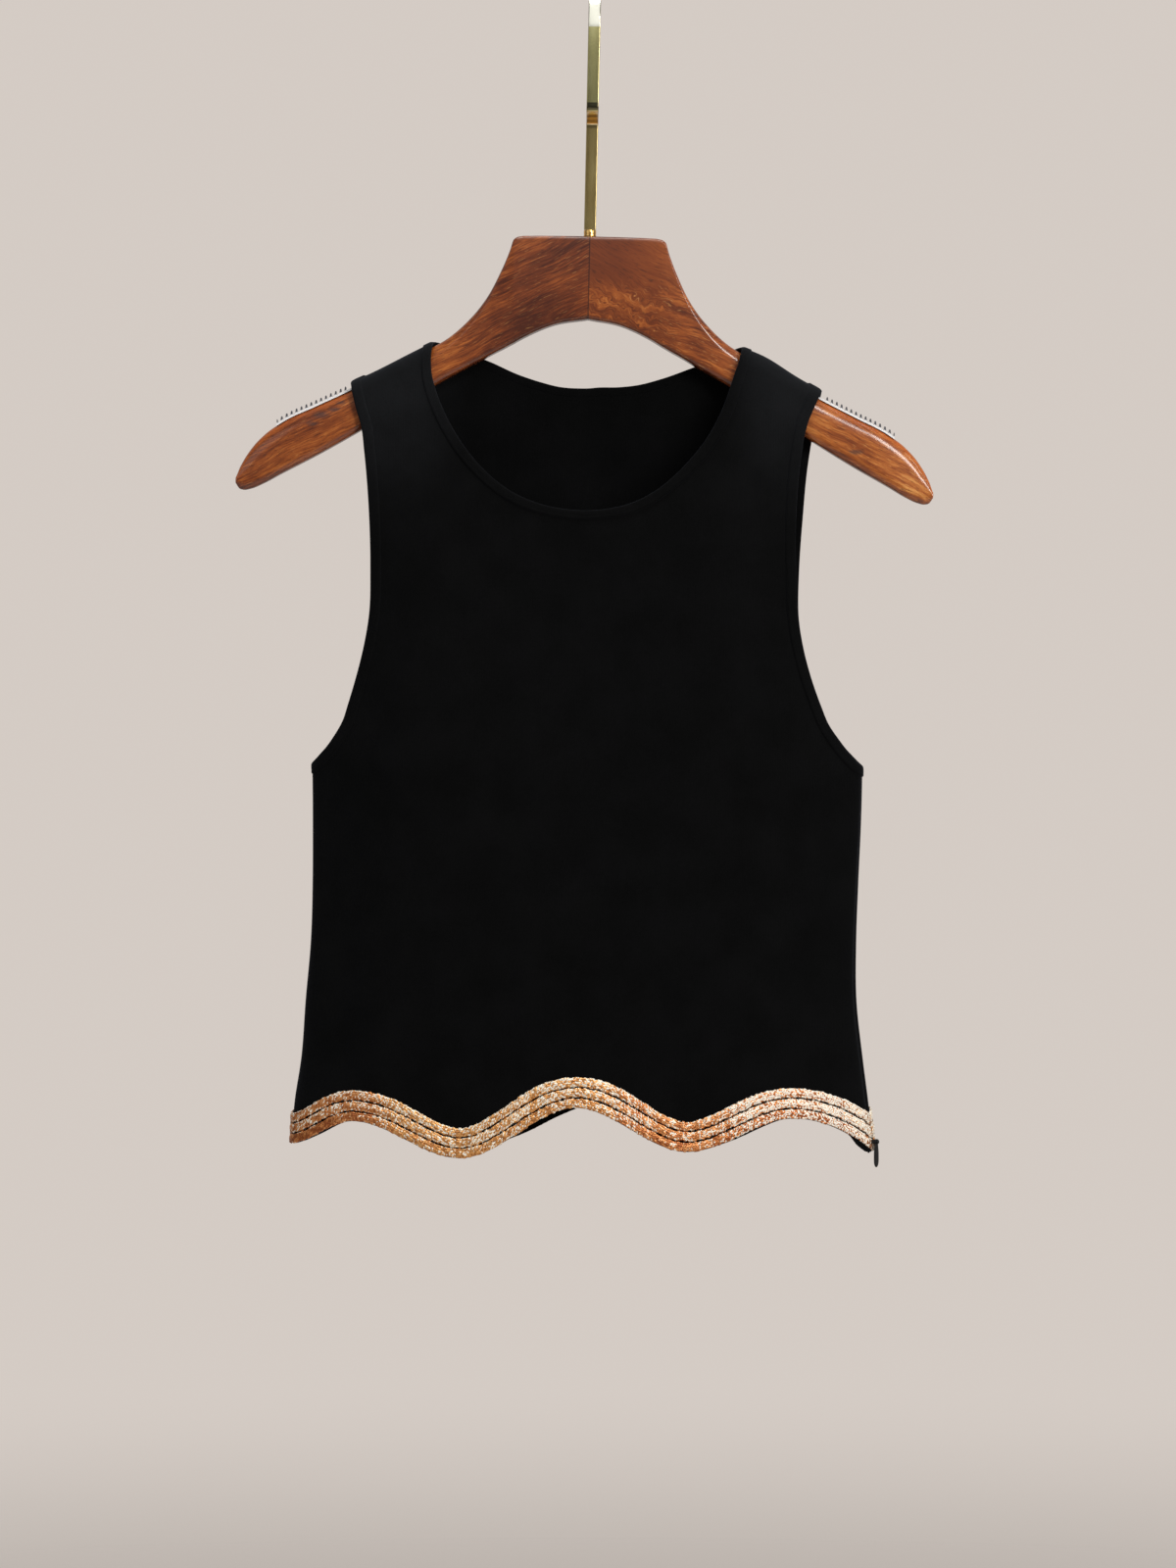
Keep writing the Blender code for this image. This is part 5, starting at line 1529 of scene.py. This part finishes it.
studio = {
    "floorHeight": -1.9,
    "floorRadius": 7.0,
    "floorTone": (0.80, 0.74, 0.69, 1.0),
    "paper": (0.66, 0.60, 0.555),      # what stands behind, as the camera sees it
    "air": ((0.12, 0.115, 0.11), (0.46, 0.43, 0.405)),     # the room's light, in front and behind
    "lamps": (                          # name, place, aim, way of its height, size, watts, colour
        ("stripLamp", (1.40, -2.10, 0.45), (0.0, 0.0, -0.35), (-0.95, 0.0, 1.80), (0.50, 1.9), 40.0,
         (1.0, 0.97, 0.93)),
        ("keyLamp", (1.9, -1.9, -0.2), (0.0, 0.0, -0.5), (0.0, 0.0, 1.0), (0.9, 1.3), 7.0,
         (1.0, 0.97, 0.93)),
        ("fillLamp", (-1.9, -2.1, 0.3), (0.0, 0.0, -0.4), (0.0, 0.0, 1.0), (2.2, 2.2), 9.0,
         (0.97, 0.98, 1.0)),
        ("topLamp", (0.1, -0.4, 1.4), (0.0, 0.0, -0.25), (0.0, 1.0, 0.0), (1.6, 0.5), 18.0,
         (1.0, 0.98, 0.95)),
        ("skyLamp", (0.0, -1.3, 1.20), (0.0, 0.0, 0.0), (0.0, 0.0, 1.0), (0.8, 2.1), 4.5,
         (1.0, 1.0, 0.98)),
        ("edgeLamp", (2.3, -1.2, 0.55), (0.0, 0.0, -0.2), (0.0, 0.0, 1.0), (0.20, 1.9), 7.0,
         (1.0, 0.97, 0.93)),
        ("hookLamp", (0.0, -2.35, 0.30), (0.0, 0.0, -0.1), (0.0, 0.0, 1.0), (0.5, 0.44), 0.06,
         (1.0, 1.0, 0.96)),
    ),
}


def addFloor():
    # a disc that fades into what stands behind
    turn = fullTurn(96)
    rim = stacked(np.cos(turn), np.sin(turn), 0.0) * studio["floorRadius"] / mm
    points = np.concatenate((rim * 0, rim)) + (0, 0, studio["floorHeight"] / mm)
    item = addMesh("studioFloor", (points, gridQuads(2, len(turn), True), points[:, :2]))
    plain = Finish("paleFloor", {"Base Color": studio["floorTone"], "Roughness": 0.9})
    x, y, _ = plain.parts(plain.places())
    away = (x * x + y * y) ** 0.5 / studio["floorRadius"]
    plain.feed("Alpha", plain.band(away, 1.0, 0.25))
    item.data.materials.append(plain.material)


def addAir():
    # light from all round, by how far behind it comes from; the camera sees plain paper
    world = bpy.data.worlds.new("studioAir")
    world.use_nodes = True
    air = NodeMaker(world.node_tree)
    behind = air.parts(air.node("ShaderNodeTexCoord", output="Generated"))[1]
    room = air.mix(air.band(behind, -0.2, 0.6), *studio["air"])
    seen = air.mix(air.node("ShaderNodeLightPath"), room, studio["paper"])
    air.tree.links.new(seen.socket, air.tree.nodes["Background"].inputs["Color"])
    bpy.context.scene.world = world


def addLamps():
    for name, place, aim, high, size, watts, colour in studio["lamps"]:
        lamp = bpy.data.objects.new(name, bpy.data.lights.new(name, "AREA"))
        lamp.data.shape = "RECTANGLE"
        lamp.data.size, lamp.data.size_y = size
        lamp.data.energy = watts
        lamp.data.color = colour
        lamp.location = place
        out = unit(np.array(place) - np.array(aim))
        wide = unit(np.cross(high, out))
        lamp.rotation_euler = Matrix((wide, np.cross(out, wide), out)).transposed().to_euler()
        bpy.context.scene.collection.objects.link(lamp)


addFloor()
addAir()
addLamps()
bpy.context.scene.view_settings.view_transform = "Standard"
print("studio lit")
